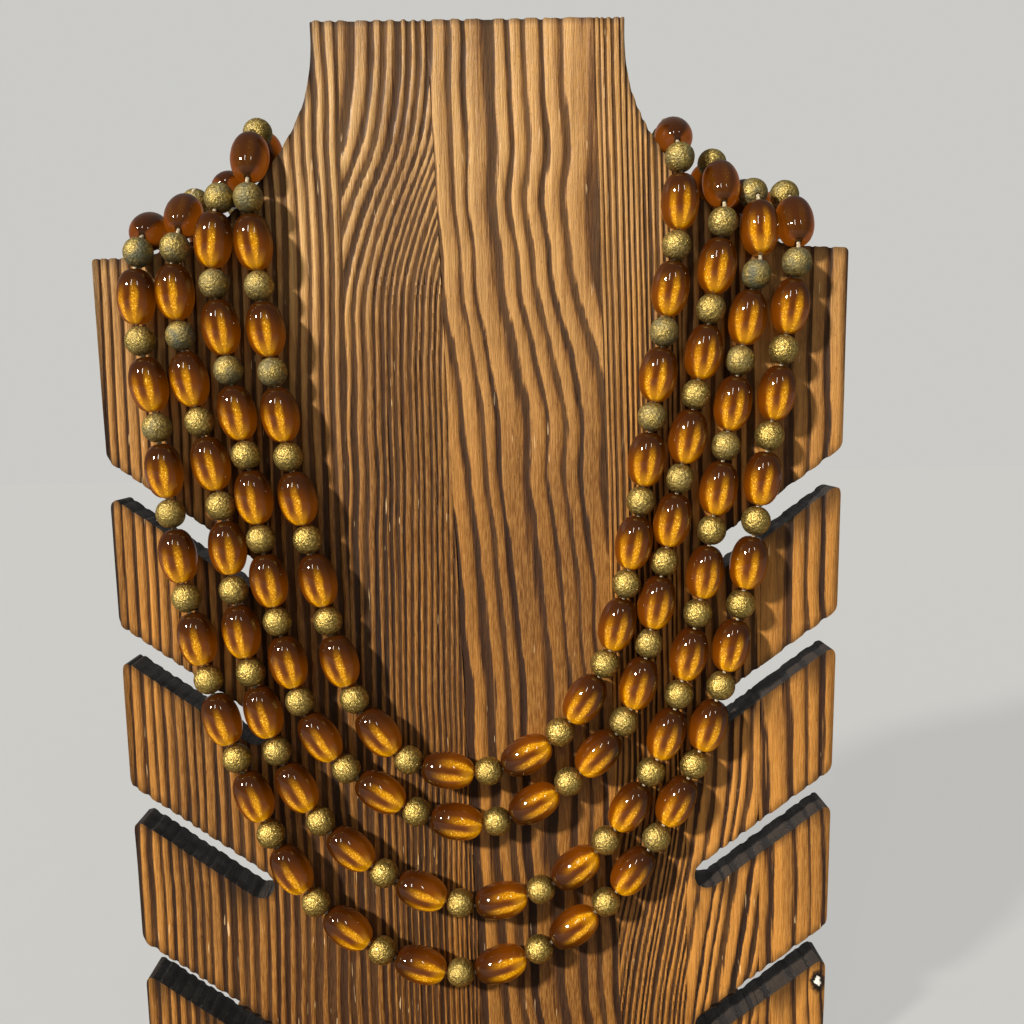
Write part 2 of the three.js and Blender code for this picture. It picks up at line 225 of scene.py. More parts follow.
# --------------------------------------------------------------------------
# Shader helpers
# --------------------------------------------------------------------------
@dataclass
class Graph:
    """Adds and joins nodes in one node tree."""

    tree: bpy.types.NodeTree

    def add(self, kind: str, **settings: object) -> bpy.types.Node:
        """Adds a node.

        Args:
            kind: Its type name, without the ShaderNode prefix.
            **settings: Properties to set on it.

        Returns:
            The node.
        """
        node = self.tree.nodes.new("ShaderNode" + kind)
        for name, value in settings.items():
            setattr(node, name, value)
        return node

    def join(self, source: object, socket: bpy.types.NodeSocket) -> None:
        """Links a socket, or sets its value.

        Args:
            source: A socket, or a plain value.
            socket: The input that takes it.
        """
        if isinstance(source, bpy.types.NodeSocket):
            self.tree.links.new(source, socket)
        else:
            socket.default_value = source

    def math(self, operation: str, *terms: object) -> bpy.types.NodeSocket:
        """One sum.

        Args:
            operation: The Math node's operation.
            *terms: Its inputs, sockets or numbers.

        Returns:
            The result socket.
        """
        node = self.add("Math", operation=operation)
        for socket, term in zip(node.inputs, terms):
            self.join(term, socket)
        return node.outputs[0]

    def plus(self, first: object, second: object) -> bpy.types.NodeSocket:
        """Adds two numbers."""
        return self.math("ADD", first, second)

    def minus(self, first: object, second: object) -> bpy.types.NodeSocket:
        """Takes the second number from the first."""
        return self.math("SUBTRACT", first, second)

    def times(self, first: object, second: object) -> bpy.types.NodeSocket:
        """Multiplies two numbers."""
        return self.math("MULTIPLY", first, second)

    def band(
        self, value: object, low: float, high: float, start: float = 0.0, end: float = 1.0
    ) -> bpy.types.NodeSocket:
        """Eases a value from start to end between two limits.

        Args:
            value: The value.
            low: Where the change begins.
            high: Where it ends.
            start: The result at low.
            end: The result at high.

        Returns:
            The result socket.
        """
        node = self.add("MapRange", interpolation_type="SMOOTHSTEP")
        for index, term in enumerate((value, low, high, start, end)):
            self.join(term, node.inputs[index])
        return node.outputs[0]

    def mix(self, share: object, first: object, second: object) -> bpy.types.NodeSocket:
        """Mixes two colours.

        Args:
            share: How much of the second.
            first: The first colour.
            second: The second colour.

        Returns:
            The mixed colour.
        """
        node = self.add("Mix", data_type="RGBA")
        self.join(share, node.inputs[0])
        self.join(first, node.inputs[6])
        self.join(second, node.inputs[7])
        return node.outputs[2]

    def noise(
        self, vector: object, scale: float, detail: float = 3.0, rough: float = 0.55
    ) -> bpy.types.NodeSocket:
        """Plain noise.

        Args:
            vector: Where it is read.
            scale: Cells a metre.
            detail: Finer layers.
            rough: How strong they are.

        Returns:
            The noise value.
        """
        node = self.add("TexNoise")
        self.join(vector, node.inputs["Vector"])
        node.inputs["Scale"].default_value = scale
        node.inputs["Detail"].default_value = detail
        node.inputs["Roughness"].default_value = rough
        return node.outputs["Fac"]

    def stretched(self, vector: object, scale: Colour) -> bpy.types.NodeSocket:
        """Scales a vector by axis.

        Args:
            vector: The vector.
            scale: The factors.

        Returns:
            The scaled vector.
        """
        node = self.add("VectorMath", operation="MULTIPLY")
        self.join(vector, node.inputs[0])
        node.inputs[1].default_value = scale
        return node.outputs[0]

    def attribute(self, name: str) -> bpy.types.NodeSocket:
        """A number stored on the mesh."""
        return self.add("Attribute", attribute_name=name).outputs["Fac"]

    def group(self, tree: bpy.types.NodeTree, **inputs: object) -> bpy.types.Node:
        """Places a shared group.

        Args:
            tree: The group.
            **inputs: Its inputs by name.

        Returns:
            The group node.
        """
        node = self.add("Group", node_tree=tree)
        for name, value in inputs.items():
            self.join(value, node.inputs[name])
        return node

    def bump(
        self, height: object, depth: float, strength: float = 1.0, normal: object = None
    ) -> bpy.types.NodeSocket:
        """Turns a height into a normal.

        Args:
            height: The height, 0 to 1.
            depth: Real depth in metres.
            strength: How much of it shows.
            normal: A normal to start from.

        Returns:
            The normal socket.
        """
        node = self.add("Bump")
        node.inputs["Strength"].default_value = strength
        node.inputs["Distance"].default_value = depth
        self.join(height, node.inputs["Height"])
        if normal is not None:
            self.join(normal, node.inputs["Normal"])
        return node.outputs[0]


def new_material(name: str) -> tuple[bpy.types.Material, Graph, bpy.types.Node]:
    """Makes a material with an empty Principled shader.

    Args:
        name: The material's name.

    Returns:
        The material, its graph and the shader.
    """
    material = bpy.data.materials.new(name)
    material.use_nodes = True
    graph = Graph(material.node_tree)
    return material, graph, material.node_tree.nodes["Principled BSDF"]


class Mask(Enum):
    """The shared effects, each a node group built once."""

    BANDS = "growth_bands"
    FIBRES = "wood_fibres"
    SCRATCHES = "crossed_scratches"
    MOTTLE = "cloudy_mottle"


_GROUPS: dict[Mask, bpy.types.NodeTree] = {}


def _group_shell(
    mask: Mask, inputs: Sequence[tuple[str, str, float]], outputs: Sequence[str]
) -> tuple[bpy.types.NodeTree, Graph, bpy.types.Node, bpy.types.Node]:
    """Starts a node group.

    Args:
        mask: Which effect it is.
        inputs: Name, socket type and value of each input.
        outputs: Names of its number outputs.

    Returns:
        The tree, its graph, the input node and the output node.
    """
    tree = bpy.data.node_groups.new(mask.value, "ShaderNodeTree")
    for name, kind, value in inputs:
        socket = tree.interface.new_socket(name, in_out="INPUT", socket_type=kind)
        if kind == "NodeSocketFloat":
            socket.default_value = value
    for name in outputs:
        tree.interface.new_socket(name, in_out="OUTPUT", socket_type="NodeSocketFloat")
    graph = Graph(tree)
    return (
        tree, graph,
        tree.nodes.new("NodeGroupInput"), tree.nodes.new("NodeGroupOutput"),
    )


def _build_bands() -> bpy.types.NodeTree:
    """Dark summer bands from a count of the rings.

    Returns:
        The node group.
    """
    tree, g, given, out = _group_shell(
        Mask.BANDS,
        [("Ring", "NodeSocketFloat", 0.0), ("Share", "NodeSocketFloat", 0.4),
         ("Ragged", "NodeSocketFloat", 0.5)],
        ["Dark", "Edge", "Late"],
    )
    ragged = g.times(g.minus(given.outputs["Ragged"], 0.5), 0.16)
    part = g.math("FRACT", g.plus(given.outputs["Ring"], ragged))
    start = g.minus(1.0, given.outputs["Share"])
    near = g.minus(part, start)
    rise = g.band(near, -0.09, 0.06)
    fall = g.band(part, 0.93, 1.0, 1.0, 0.0)
    g.join(g.times(rise, fall), out.inputs["Dark"])
    g.join(g.band(g.math("ABSOLUTE", near), 0.0, 0.12, 1.0, 0.0), out.inputs["Edge"])
    g.join(g.band(g.math("DIVIDE", part, start), 0.15, 1.05), out.inputs["Late"])
    return tree


def _build_fibres() -> bpy.types.NodeTree:
    """Fine streaks that run along the grain.

    Returns:
        The node group.
    """
    tree, g, given, out = _group_shell(
        Mask.FIBRES, [("Vector", "NodeSocketVector", 0.0)], ["Streak", "Fine", "Pores"])
    vector = given.outputs["Vector"]
    streak = g.noise(g.stretched(vector, (1.0, 1.0, 0.035)), 900.0, 4.0, 0.62)
    fine = g.noise(g.stretched(vector, (1.0, 1.0, 0.09)), 3200.0, 2.0, 0.6)
    pores = g.noise(g.stretched(vector, (1.0, 1.0, 0.22)), 2600.0, 2.0, 0.5)
    g.join(g.band(streak, 0.3, 0.7), out.inputs["Streak"])
    g.join(g.band(fine, 0.3, 0.72), out.inputs["Fine"])
    g.join(g.band(pores, 0.66, 0.76), out.inputs["Pores"])
    return tree


def _build_scratches() -> bpy.types.NodeTree:
    """Short crossed scratches, as from a wire brush.

    Returns:
        The node group.
    """
    tree, g, given, out = _group_shell(
        Mask.SCRATCHES, [("Vector", "NodeSocketVector", 0.0)], ["Height", "Bright"])
    layers = []
    for turn, along in ((0.5, 0.3), (-0.7, 0.34), (1.5, 0.32)):
        mapping = g.add("Mapping")
        mapping.inputs["Rotation"].default_value = (turn, turn * 0.6, turn * 1.3)
        mapping.inputs["Scale"].default_value = (1.0, along, 1.0)
        g.join(given.outputs["Vector"], mapping.inputs["Vector"])
        layers.append(g.noise(mapping.outputs[0], 1500.0, 3.0, 0.6))
    height = g.plus(g.plus(layers[0], layers[1]), layers[2])
    height = g.times(height, 0.3333)
    g.join(g.band(height, 0.36, 0.64), out.inputs["Height"])
    # The second output marks the scratch crests, where the brass gets painted glints.
    g.join(g.band(height, 0.52, 0.62), out.inputs["Bright"])
    return tree


def _build_mottle() -> bpy.types.NodeTree:
    """Soft clouds for tarnish, soot and varnish wear.

    Returns:
        The node group.
    """
    tree, g, given, out = _group_shell(
        Mask.MOTTLE,
        [("Vector", "NodeSocketVector", 0.0), ("Scale", "NodeSocketFloat", 100.0)],
        ["Cloud", "Spots"],
    )
    wide = g.add("TexNoise")
    g.join(given.outputs["Vector"], wide.inputs["Vector"])
    g.join(given.outputs["Scale"], wide.inputs["Scale"])
    wide.inputs["Detail"].default_value = 4.0
    g.join(g.band(wide.outputs["Fac"], 0.35, 0.68), out.inputs["Cloud"])
    small = g.add("TexNoise")
    g.join(given.outputs["Vector"], small.inputs["Vector"])
    g.join(g.times(given.outputs["Scale"], 5.0), small.inputs["Scale"])
    g.join(g.band(small.outputs["Fac"], 0.56, 0.7), out.inputs["Spots"])
    return tree


_BUILDERS: dict[Mask, Callable[[], bpy.types.NodeTree]] = {
    Mask.BANDS: _build_bands,
    Mask.FIBRES: _build_fibres,
    Mask.SCRATCHES: _build_scratches,
    Mask.MOTTLE: _build_mottle,
}


def shared(mask: Mask) -> bpy.types.NodeTree:
    """The group for an effect, built on its first use.

    Args:
        mask: The effect.

    Returns:
        The node group.
    """
    if mask not in _GROUPS:
        _GROUPS[mask] = _BUILDERS[mask]()
    return _GROUPS[mask]


# --------------------------------------------------------------------------
# Finishes
# --------------------------------------------------------------------------
class RingSource(Enum):
    """Where a wood finish takes its ring count from."""

    STORED = "stored"
    BY_WIDTH = "by_width"


@dataclass(frozen=True)
class BrushedPine:
    """Scorched pine, brushed so that the rings stand in relief, and varnished."""

    name: str = "brushed_pine"
    pale: Paint = (182, 122, 52)
    warm: Paint = (108, 65, 22)
    glaze: Paint = (88, 53, 22)
    # Painted sheen: the varnish's glare, paler and greyer.
    painted_sheen_colour: Paint = (194, 160, 106)
    groove: Paint = (40, 20, 6)
    soot: Paint = (22, 12, 6)
    fibre: Paint = (198, 146, 74)
    late_fibre: Paint = (70, 42, 20)
    edge: Paint = (92, 52, 26)
    nick: Paint = (224, 190, 140)
    filling: Paint = (228, 222, 208)
    gloss: float = 0.34
    specular: float = 0.2
    coat: float = 0.05
    coat_rough: float = 0.25
    relief: float = 0.0002
    # Heights over which the painted sheen grows to full.
    painted_sheen_z: tuple[float, float] = (0.15, 0.27)
    knot_edge: tuple[float, float] = (0.0026, 0.0042)
    filling_edge: tuple[float, float] = (0.0018, 0.0022)
    knot_squash: float = 0.7
    knot: tuple[float, float] = (96.2, 31.9)
    rings: RingSource = RingSource.STORED

    def build(self) -> bpy.types.Material:
        """Makes the material.

        Returns:
            The material.
        """
        material, g, shader = new_material(self.name)
        where = g.add("TexCoord").outputs["Object"]
        fibres = g.group(shared(Mask.FIBRES), Vector=where)
        if self.rings is RingSource.STORED:
            ring, share = g.attribute("ring"), g.attribute("share")
            tone, force = g.attribute("tone"), g.attribute("force")
            burnt = g.attribute("burnt")
        else:
            axis = g.add("SeparateXYZ")
            g.join(where, axis.inputs[0])
            wander = g.noise(g.stretched(where, (1.0, 0.15, 1.0)), 25.0, 2.0)
            ring = g.plus(g.times(axis.outputs["Y"], 210.0), g.times(wander, 1.6))
            share, tone, force, burnt = 0.38, 0.5, 0.8, 0.0
        bands = g.group(shared(Mask.BANDS), Ring=ring, Share=share,
                        Ragged=fibres.outputs["Streak"])
        cloud = g.group(shared(Mask.MOTTLE),
                        Vector=g.stretched(where, (1.0, 1.0, 0.22)), Scale=70.0)
        wear = g.group(shared(Mask.MOTTLE),
                       Vector=g.stretched(where, (1.0, 1.0, 0.5)), Scale=24.0)
        # Tone varies at random, and low in the middle of the board it also carries painted shade,
        # partly deeper scorching.
        pale = g.mix(tone, srgb(*self.pale), srgb(*self.warm))
        parts = g.add("SeparateXYZ")
        g.join(where, parts.inputs[0])
        # Painted sheen: the varnish's glare painted in, paler and greyer high on the board and
        # strongest on the left.
        painted_sheen = g.times(g.band(parts.outputs["Z"], *self.painted_sheen_z),
                       g.band(parts.outputs["X"], -0.05, 0.07, 0.75, 0.45))
        pale = g.mix(painted_sheen, pale, srgb(*self.painted_sheen_colour))
        pale = g.mix(g.times(bands.outputs["Late"], 0.7), pale, srgb(*self.warm))
        glazed = g.plus(0.36, g.times(tone, 0.5))
        pale = g.mix(g.times(cloud.outputs["Cloud"], glazed), pale, srgb(*self.glaze))
        pale = g.mix(g.times(fibres.outputs["Streak"], 0.4), pale, srgb(*self.glaze))
        pale = g.mix(g.times(fibres.outputs["Fine"], 0.28), pale, srgb(*self.fibre))
        pale = g.mix(g.times(fibres.outputs["Pores"], 0.7), pale, srgb(*self.groove))
        turned_over = g.add("Mapping")
        g.join(where, turned_over.inputs["Vector"])
        turned_over.inputs["Rotation"].default_value = (0.0, 0.95, 0.0)
        turned_over.inputs["Scale"].default_value = (1.0, 1.0, 0.1)
        nick = g.band(g.noise(turned_over.outputs[0], 1100.0, 1.0), 0.72, 0.76)
        nick = g.times(nick, g.band(g.noise(where, 45.0, 1.0), 0.5, 0.6))
        dark = g.mix(wear.outputs["Cloud"], srgb(*self.groove), srgb(*self.soot))
        dark = g.mix(g.times(fibres.outputs["Fine"], 0.3), dark, srgb(*self.late_fibre))
        colour = g.mix(g.times(bands.outputs["Dark"], force), pale, dark)
        colour = g.mix(g.times(bands.outputs["Edge"], 0.3), colour, srgb(*self.edge))
        colour = g.mix(g.times(burnt, 0.85), colour, srgb(*self.soot))
        colour = g.mix(g.times(nick, 0.45), colour, srgb(*self.nick))
        away = g.add("VectorMath", operation="DISTANCE")
        g.join(g.stretched(where, (1.0, 0.0, self.knot_squash)), away.inputs[0])
        away.inputs[1].default_value = (
            self.knot[0] * MM, 0.0, self.knot[1] * MM * self.knot_squash)
        away = g.plus(away.outputs["Value"], g.times(g.noise(where, 700.0, 3.0), 0.0022))
        colour = g.mix(g.band(away, *self.knot_edge, 1.0, 0.0), colour, srgb(*self.soot))
        colour = g.mix(g.band(away, *self.filling_edge, 1.0, 0.0), colour, srgb(*self.filling))
        g.join(colour, shader.inputs["Base Color"])
        rough = g.plus(self.gloss, g.times(fibres.outputs["Fine"], 0.2))
        rough = g.plus(rough, g.times(bands.outputs["Dark"], 0.3))
        g.join(rough, shader.inputs["Roughness"])
        height = g.plus(g.times(fibres.outputs["Streak"], 0.6),
                        g.times(fibres.outputs["Fine"], 0.4))
        g.join(g.bump(height, self.relief, 0.8), shader.inputs["Normal"])
        shader.inputs["Specular IOR Level"].default_value = self.specular
        shader.inputs["Coat Roughness"].default_value = self.coat_rough
        shader.inputs["Coat Weight"].default_value = self.coat
        return material


@dataclass(frozen=True)
class CharredEnd:
    """Sawn faces scorched to near black, with the rings as ribs."""

    name: str = "charred_cut"
    black: Paint = (34, 30, 28)
    ember: Paint = (66, 55, 46)
    gloss: float = 0.42
    relief: float = 0.0006

    def build(self) -> bpy.types.Material:
        """Makes the material.

        Returns:
            The material.
        """
        material, g, shader = new_material(self.name)
        where = g.add("TexCoord").outputs["Object"]
        fibres = g.group(shared(Mask.FIBRES), Vector=where)
        bands = g.group(shared(Mask.BANDS), Ring=g.attribute("ring"),
                        Share=g.attribute("share"), Ragged=fibres.outputs["Streak"])
        cloud = g.group(shared(Mask.MOTTLE), Vector=where, Scale=160.0)
        rib = g.times(g.minus(1.0, bands.outputs["Dark"]), 0.6)
        colour = g.mix(rib, srgb(*self.black), srgb(*self.ember))
        colour = g.mix(g.times(cloud.outputs["Cloud"], 0.6), colour, srgb(*self.black))
        g.join(colour, shader.inputs["Base Color"])
        g.join(g.plus(self.gloss, g.times(cloud.outputs["Cloud"], 0.2)),
               shader.inputs["Roughness"])
        ribs = g.noise(g.stretched(where, (1.0, 0.12, 1.0)), 1300.0, 2.0)
        height = g.plus(rib, ribs)
        g.join(g.bump(height, self.relief, 0.9), shader.inputs["Normal"])
        return material


@dataclass(frozen=True)
class AmberGlass:
    """Clear amber with painted light and shade: glowing gold streaks beside the bore where light
    would gather, painted sparkle, and painted shade towards the light, at the sides and along the
    bore.
    """

    name: str = "amber_clear"
    # Base colours, painted light and shade: darker towards the light, brighter away from it,
    # painted shade at the sides and along the bore, a gold painted streak, painted sparkle, and a
    # darker copy without streaks for beads off the front face.
    deep: Paint = (44, 19, 3)
    body: Paint = (92, 46, 2)
    glow: Paint = (150, 98, 2)
    rim: Paint = (52, 20, 3)
    painted_bore_shade: Paint = (50, 21, 2)
    over: Paint = (46, 20, 3)
    # Glow colours for the emission, painted light: glowing streaks and sparkle, dim towards the
    # light, and glowing sides on beads off the front face.
    ember: Paint = (150, 74, 8)
    flame: Paint = (255, 176, 0)
    painted_inner_glow: Paint = (112, 54, 0)
    painted_sparkle: Paint = (255, 208, 84)
    spark: Paint = (255, 214, 70)
    unlit: Paint = (26, 9, 0)
    hidden_painted_glow_middle: Paint = (26, 8, 0)
    # Strength of the painted glow, though the bead is no lamp.
    self_lit: float = 0.55
    roughness: float = 0.04
    bending: float = 1.54
    specular: float = 0.34

    def build(self) -> bpy.types.Material:
        """Makes the material.

        Returns:
            The material.
        """
        material, g, shader = new_material(self.name)
        where = g.add("TexCoord").outputs["Object"]
        along, across = g.attribute("along"), g.attribute("across")
        odd, shine = g.attribute("odd"), g.attribute("shine")
        grain = g.noise(where, 2300.0, 3.0, 0.8)
        wave = g.noise(where, 300.0, 2.0, 0.5)
        bulge = g.math("SQRT", g.math("MAXIMUM", 0.05, g.minus(1.0, g.times(along, along))))
        shifted = g.math("DIVIDE", across, bulge)
        shifted = g.plus(shifted, g.times(g.minus(wave, 0.5), 0.18))
        shifted = g.plus(shifted, g.times(odd, 0.14))

        def streak(middle: float, width: float) -> bpy.types.NodeSocket:
            """A soft lengthwise streak."""
            away = g.math("ABSOLUTE", g.minus(shifted, middle))
            return g.band(away, width * 0.2, width, 1.0, 0.0)

        # Painted light: two gold streaks beside the bore and a pool at the far end, brightest on
        # the side away from the light.
        lit = g.band(along, -0.7, 0.35)
        end = g.band(along, 0.86, 0.99, 1.0, 0.2)
        left = g.times(streak(-0.52, 0.24), g.band(along, -0.55, 0.7))
        right = g.times(streak(0.2, 0.27), lit)
        both = g.times(g.math("MAXIMUM", left, right), end)
        glow = g.times(both, g.band(grain, 0.36, 0.6, 0.45, 1.0))
        painted_far_glow = g.times(g.band(along, 0.3, 0.85), 0.5)
        painted_far_glow = g.times(painted_far_glow, g.band(g.math("ABSOLUTE", shifted), 0.45, 0.85, 1.0, 0.0))
        glow = g.math("MAXIMUM", glow, g.times(painted_far_glow, end))
        glow = g.times(glow, shine)
        # Painted sparkle along the painted streaks.
        painted_sparkle_mask = g.times(g.band(grain, 0.58, 0.66), g.band(both, 0.1, 0.7))
        painted_sparkle_mask = g.times(painted_sparkle_mask, shine)
        # Painted shade: darker towards the light, at the sides and along the bore.
        base = g.mix(g.band(along, -0.8, 0.45), srgb(*self.deep), srgb(*self.body))
        side = g.band(g.math("ABSOLUTE", shifted), 0.55, 1.0)
        base = g.mix(g.times(side, 0.75), base, srgb(*self.rim))
        painted_bore_shade = g.times(streak(-0.16, 0.16), g.band(along, -0.5, 0.1))
        painted_bore_shade = g.times(painted_bore_shade, shine)
        base = g.mix(g.times(painted_bore_shade, 0.8), base, srgb(*self.painted_bore_shade))
        # Beads off the front face take a darker copy without the painted streaks: painted shade.
        still = g.times(g.minus(1.0, shine), 0.95)
        base = g.mix(still, base, srgb(*self.over))
        colour = g.mix(glow, base, srgb(*self.glow))
        colour = g.mix(g.times(painted_sparkle_mask, 0.75), colour, srgb(*self.painted_sparkle))
        g.join(colour, shader.inputs["Base Color"])
        # Emission makes the painted light glow though the bead is no lamp; beads off the front
        # face glow only at their sides.
        light = g.mix(g.band(along, -0.6, 0.6), srgb(*self.unlit), srgb(*self.painted_inner_glow))
        light = g.mix(glow, light, srgb(*self.flame))
        light = g.mix(g.times(painted_sparkle_mask, 0.7), light, srgb(*self.spark))
        clear = g.mix(side, srgb(*self.hidden_painted_glow_middle), srgb(*self.ember))
        light = g.mix(still, light, clear)
        g.join(light, shader.inputs["Emission Color"])
        shader.inputs["Emission Strength"].default_value = self.self_lit
        shader.inputs["Roughness"].default_value = self.roughness
        shader.inputs["IOR"].default_value = self.bending
        shader.inputs["Specular IOR Level"].default_value = self.specular
        return material


@dataclass(frozen=True)
class AntiqueBrass:
    """Brass with a scratched skin that has dulled unevenly; its sparkle is partly painted glints
    on the scratch crests.
    """

    name: str = "antique_brass"
    gold: Paint = (198, 172, 92)
    shade: Paint = (136, 112, 56)
    tarnish: Paint = (84, 84, 66)
    # Painted glint colour on the scratch crests of bright beads.
    painted_glint: Paint = (236, 208, 132)
    rough: float = 0.42
    depth: float = 0.0002

    def build(self) -> bpy.types.Material:
        """Makes the material.

        Returns:
            The material.
        """
        material, g, shader = new_material(self.name)
        where = g.add("TexCoord").outputs["Object"]
        marks = g.group(shared(Mask.SCRATCHES), Vector=where)
        cloud = g.group(shared(Mask.MOTTLE), Vector=where, Scale=260.0)
        dull = g.attribute("dull")
        colour = g.mix(marks.outputs["Height"], srgb(*self.shade), srgb(*self.gold))
        patch = g.times(g.plus(0.35, cloud.outputs["Cloud"]), dull)
        colour = g.mix(g.math("MINIMUM", patch, 0.92), colour, srgb(*self.tarnish))
        # Painted glints: paler brass on the scratch crests, fewer on dull beads.
        colour = g.mix(g.times(g.times(marks.outputs["Bright"], 0.5), g.minus(1.0, dull)),
                       colour, srgb(*self.painted_glint))
        g.join(colour, shader.inputs["Base Color"])
        g.join(g.minus(1.0, g.times(patch, 0.45)), shader.inputs["Metallic"])
        rough = g.plus(self.rough, g.times(patch, 0.2))
        g.join(rough, shader.inputs["Roughness"])
        g.join(g.bump(marks.outputs["Height"], self.depth, 0.9), shader.inputs["Normal"])
        return material


@dataclass(frozen=True)
class PaleThread:
    """Twisted pale thread."""

    name: str = "pale_thread"
    light: Paint = (196, 182, 152)
    dark: Paint = (128, 106, 76)
    rough: float = 0.85
    relief: float = 0.0002

    def build(self) -> bpy.types.Material:
        """Makes the material.

        Returns:
            The material.
        """
        material, g, shader = new_material(self.name)
        where = g.add("TexCoord").outputs["Object"]
        twist = g.math("SINE", g.attribute("twist"))
        twist = g.band(twist, -0.8, 0.8)
        fuzz = g.noise(where, 6000.0, 2.0)
        # Darker along the grooves of the twist: painted shade between the plies.
        share = g.times(g.minus(1.0, twist), 0.7)
        colour = g.mix(share, srgb(*self.light), srgb(*self.dark))
        colour = g.mix(g.times(fuzz, 0.3), colour, srgb(*self.dark))
        g.join(colour, shader.inputs["Base Color"])
        shader.inputs["Roughness"].default_value = self.rough
        g.join(g.bump(twist, self.relief, 0.8), shader.inputs["Normal"])
        return material


# --------------------------------------------------------------------------
# Board
# --------------------------------------------------------------------------
@dataclass(frozen=True)
class Strip:
    """One of the strips that the board is glued from.

    start is its left side at the top edge and drift how far that side moves
    right for each millimetre down. pitch is the ring spacing at that side and
    narrow how quickly it tightens. Rings sweep over by lean round lean_z.
    """

    start: float
    drift: float
    pitch: float
    narrow: float
    share: float
    sway: float
    lean: float
    lean_z: float
    lean_half: float
    uneven: float
    tone: float
    seed: int
    step: float


STRIPS = (
    Strip(-108.0, 0.0, 2.65, -0.0014, 0.44, 0.7, 0.0, 150.0, 40.0, 0.28, 0.30, 3, 0.50),
    Strip(-34.6, -0.009, 3.10, 0.0200, 0.46, 0.8, 17.0, 258.0, 34.0, 0.25, 0.40, 11, 0.44),
    Strip(-11.0, 0.034, 6.60, 0.0040, 0.34, 2.3, -5.5, 222.0, 18.0, 0.62, 0.15, 23, 0.52),
    Strip(34.0, 0.017, 1.62, 0.0, 0.44, 0.35, 13.0, 52.0, 48.0, 0.25, 0.25, 37, 0.34),
    Strip(57.0, 0.004, 3.40, 0.0, 0.42, 0.8, 13.0, 50.0, 60.0, 0.30, 0.20, 41, 0.46),
    Strip(79.0, 0.0, 7.60, 0.0, 0.26, 1.2, -2.0, 120.0, 100.0, 0.60, 0.10, 53, 0.60),
)


@dataclass
class GrainField:
    """The growth rings over the whole board, as a count that rises across it."""

    strips: Sequence[Strip]
    top: float = 303.3
    right: float = 108.0
    sway_long: float = 62.0
    sway_wide: float = 26.0
    quick_long: float = 15.0
    quick_wide: float = 22.0
    quick_share: float = 0.45
    uneven_long: float = 400.0
    share_long: float = 60.0
    share_change: float = 0.4
    tone_long: float = 70.0
    tone_change: float = 0.45
    # Painted shade, partly deeper scorching: low in the middle the board darkens, in tone and in
    # a wider dark share of each ring.
    deep: float = 0.75
    shade_and_scorch_full_below: float = 150.0
    shade_and_scorch_gone_above: float = 245.0
    shade_and_scorch_right: tuple[float, float] = (30.0, 42.0)
    shade_and_scorch_left: tuple[float, float] = (48.0, 74.0)
    shade_and_scorch_share: float = 0.3

    def side(self, index: int, z: np.ndarray) -> np.ndarray:
        """Left side of a strip, or the right side of the last.

        Args:
            index: The strip's number.
            z: Heights.

        Returns:
            The place across the board at each height.
        """
        z = np.asarray(z, float)
        if index >= len(self.strips):
            return np.full_like(z, self.right)
        strip = self.strips[index]
        return strip.start + strip.drift * (self.top - z)

    def strip_of(self, x: np.ndarray, z: np.ndarray) -> np.ndarray:
        """Number of the strip at each place.

        Args:
            x: Places across.
            z: Heights.

        Returns:
            The strip numbers.
        """
        found = np.zeros(np.shape(x), int)
        for index in range(1, len(self.strips)):
            found[x >= self.side(index, z)] = index
        return found

    def ring(self, x: np.ndarray, z: np.ndarray) -> tuple[np.ndarray, ...]:
        """Ring count, dark share and tone at each place.

        Args:
            x: Places across.
            z: Heights.

        Returns:
            Three arrays.
        """
        x, z = np.asarray(x, float), np.asarray(z, float)
        which = self.strip_of(x, z)
        count, share, tone = (np.zeros(x.shape) for _ in range(3))
        for index, strip in enumerate(self.strips):
            at = which == index
            if not at.any():
                continue
            u, v = x[at] - self.side(index, z[at]), z[at]
            slow = value_noise(u / self.sway_wide, v / self.sway_long, strip.seed)
            quick = value_noise(
                u / self.quick_wide, v / self.quick_long, strip.seed + 1)
            bend = strip.lean * smoothstep(
                strip.lean_z - strip.lean_half, strip.lean_z + strip.lean_half, v)
            place = u + strip.sway * (slow + self.quick_share * quick) - bend
            spread = place * (1.0 + strip.narrow * place)
            count[at] = spread / strip.pitch + strip.uneven * value_noise(
                spread / (1.35 * strip.pitch), v / self.uneven_long, strip.seed + 2)
            wide = value_noise(
                place / (1.9 * strip.pitch), v / self.share_long, strip.seed + 3)
            # Painted shade, partly deeper scorching, low in the middle of the board.
            deep = (1 - smoothstep(self.shade_and_scorch_full_below, self.shade_and_scorch_gone_above, v)) * (
                1 - smoothstep(*self.shade_and_scorch_right, x[at])) * (
                1 - smoothstep(*self.shade_and_scorch_left, -x[at]))
            share[at] = strip.share * (1.0 + self.share_change * wide) * (
                1.0 + self.shade_and_scorch_share * deep)
            tone[at] = np.clip(strip.tone + self.deep * deep + self.tone_change * value_noise(
                place / (3.1 * strip.pitch), v / self.tone_long, strip.seed + 4), 0, 1)
        return count, share, tone

    def dark(self, x: np.ndarray, z: np.ndarray) -> np.ndarray:
        """How much each place lies in a groove, 0 to 1.

        Args:
            x: Places across.
            z: Heights.

        Returns:
            The mask.
        """
        count, share, _ = self.ring(x, z)
        part = count - np.floor(count)
        rise = smoothstep(-0.12, 0.1, part - (1.0 - share))
        return rise * (1.0 - smoothstep(0.9, 1.0, part)) * self.force(count)

    @staticmethod
    def force(count: np.ndarray) -> np.ndarray:
        """How strong the dark part of each ring is, 0 to 1."""
        return 0.9 + 0.1 * hashed(np.floor(count), 61)


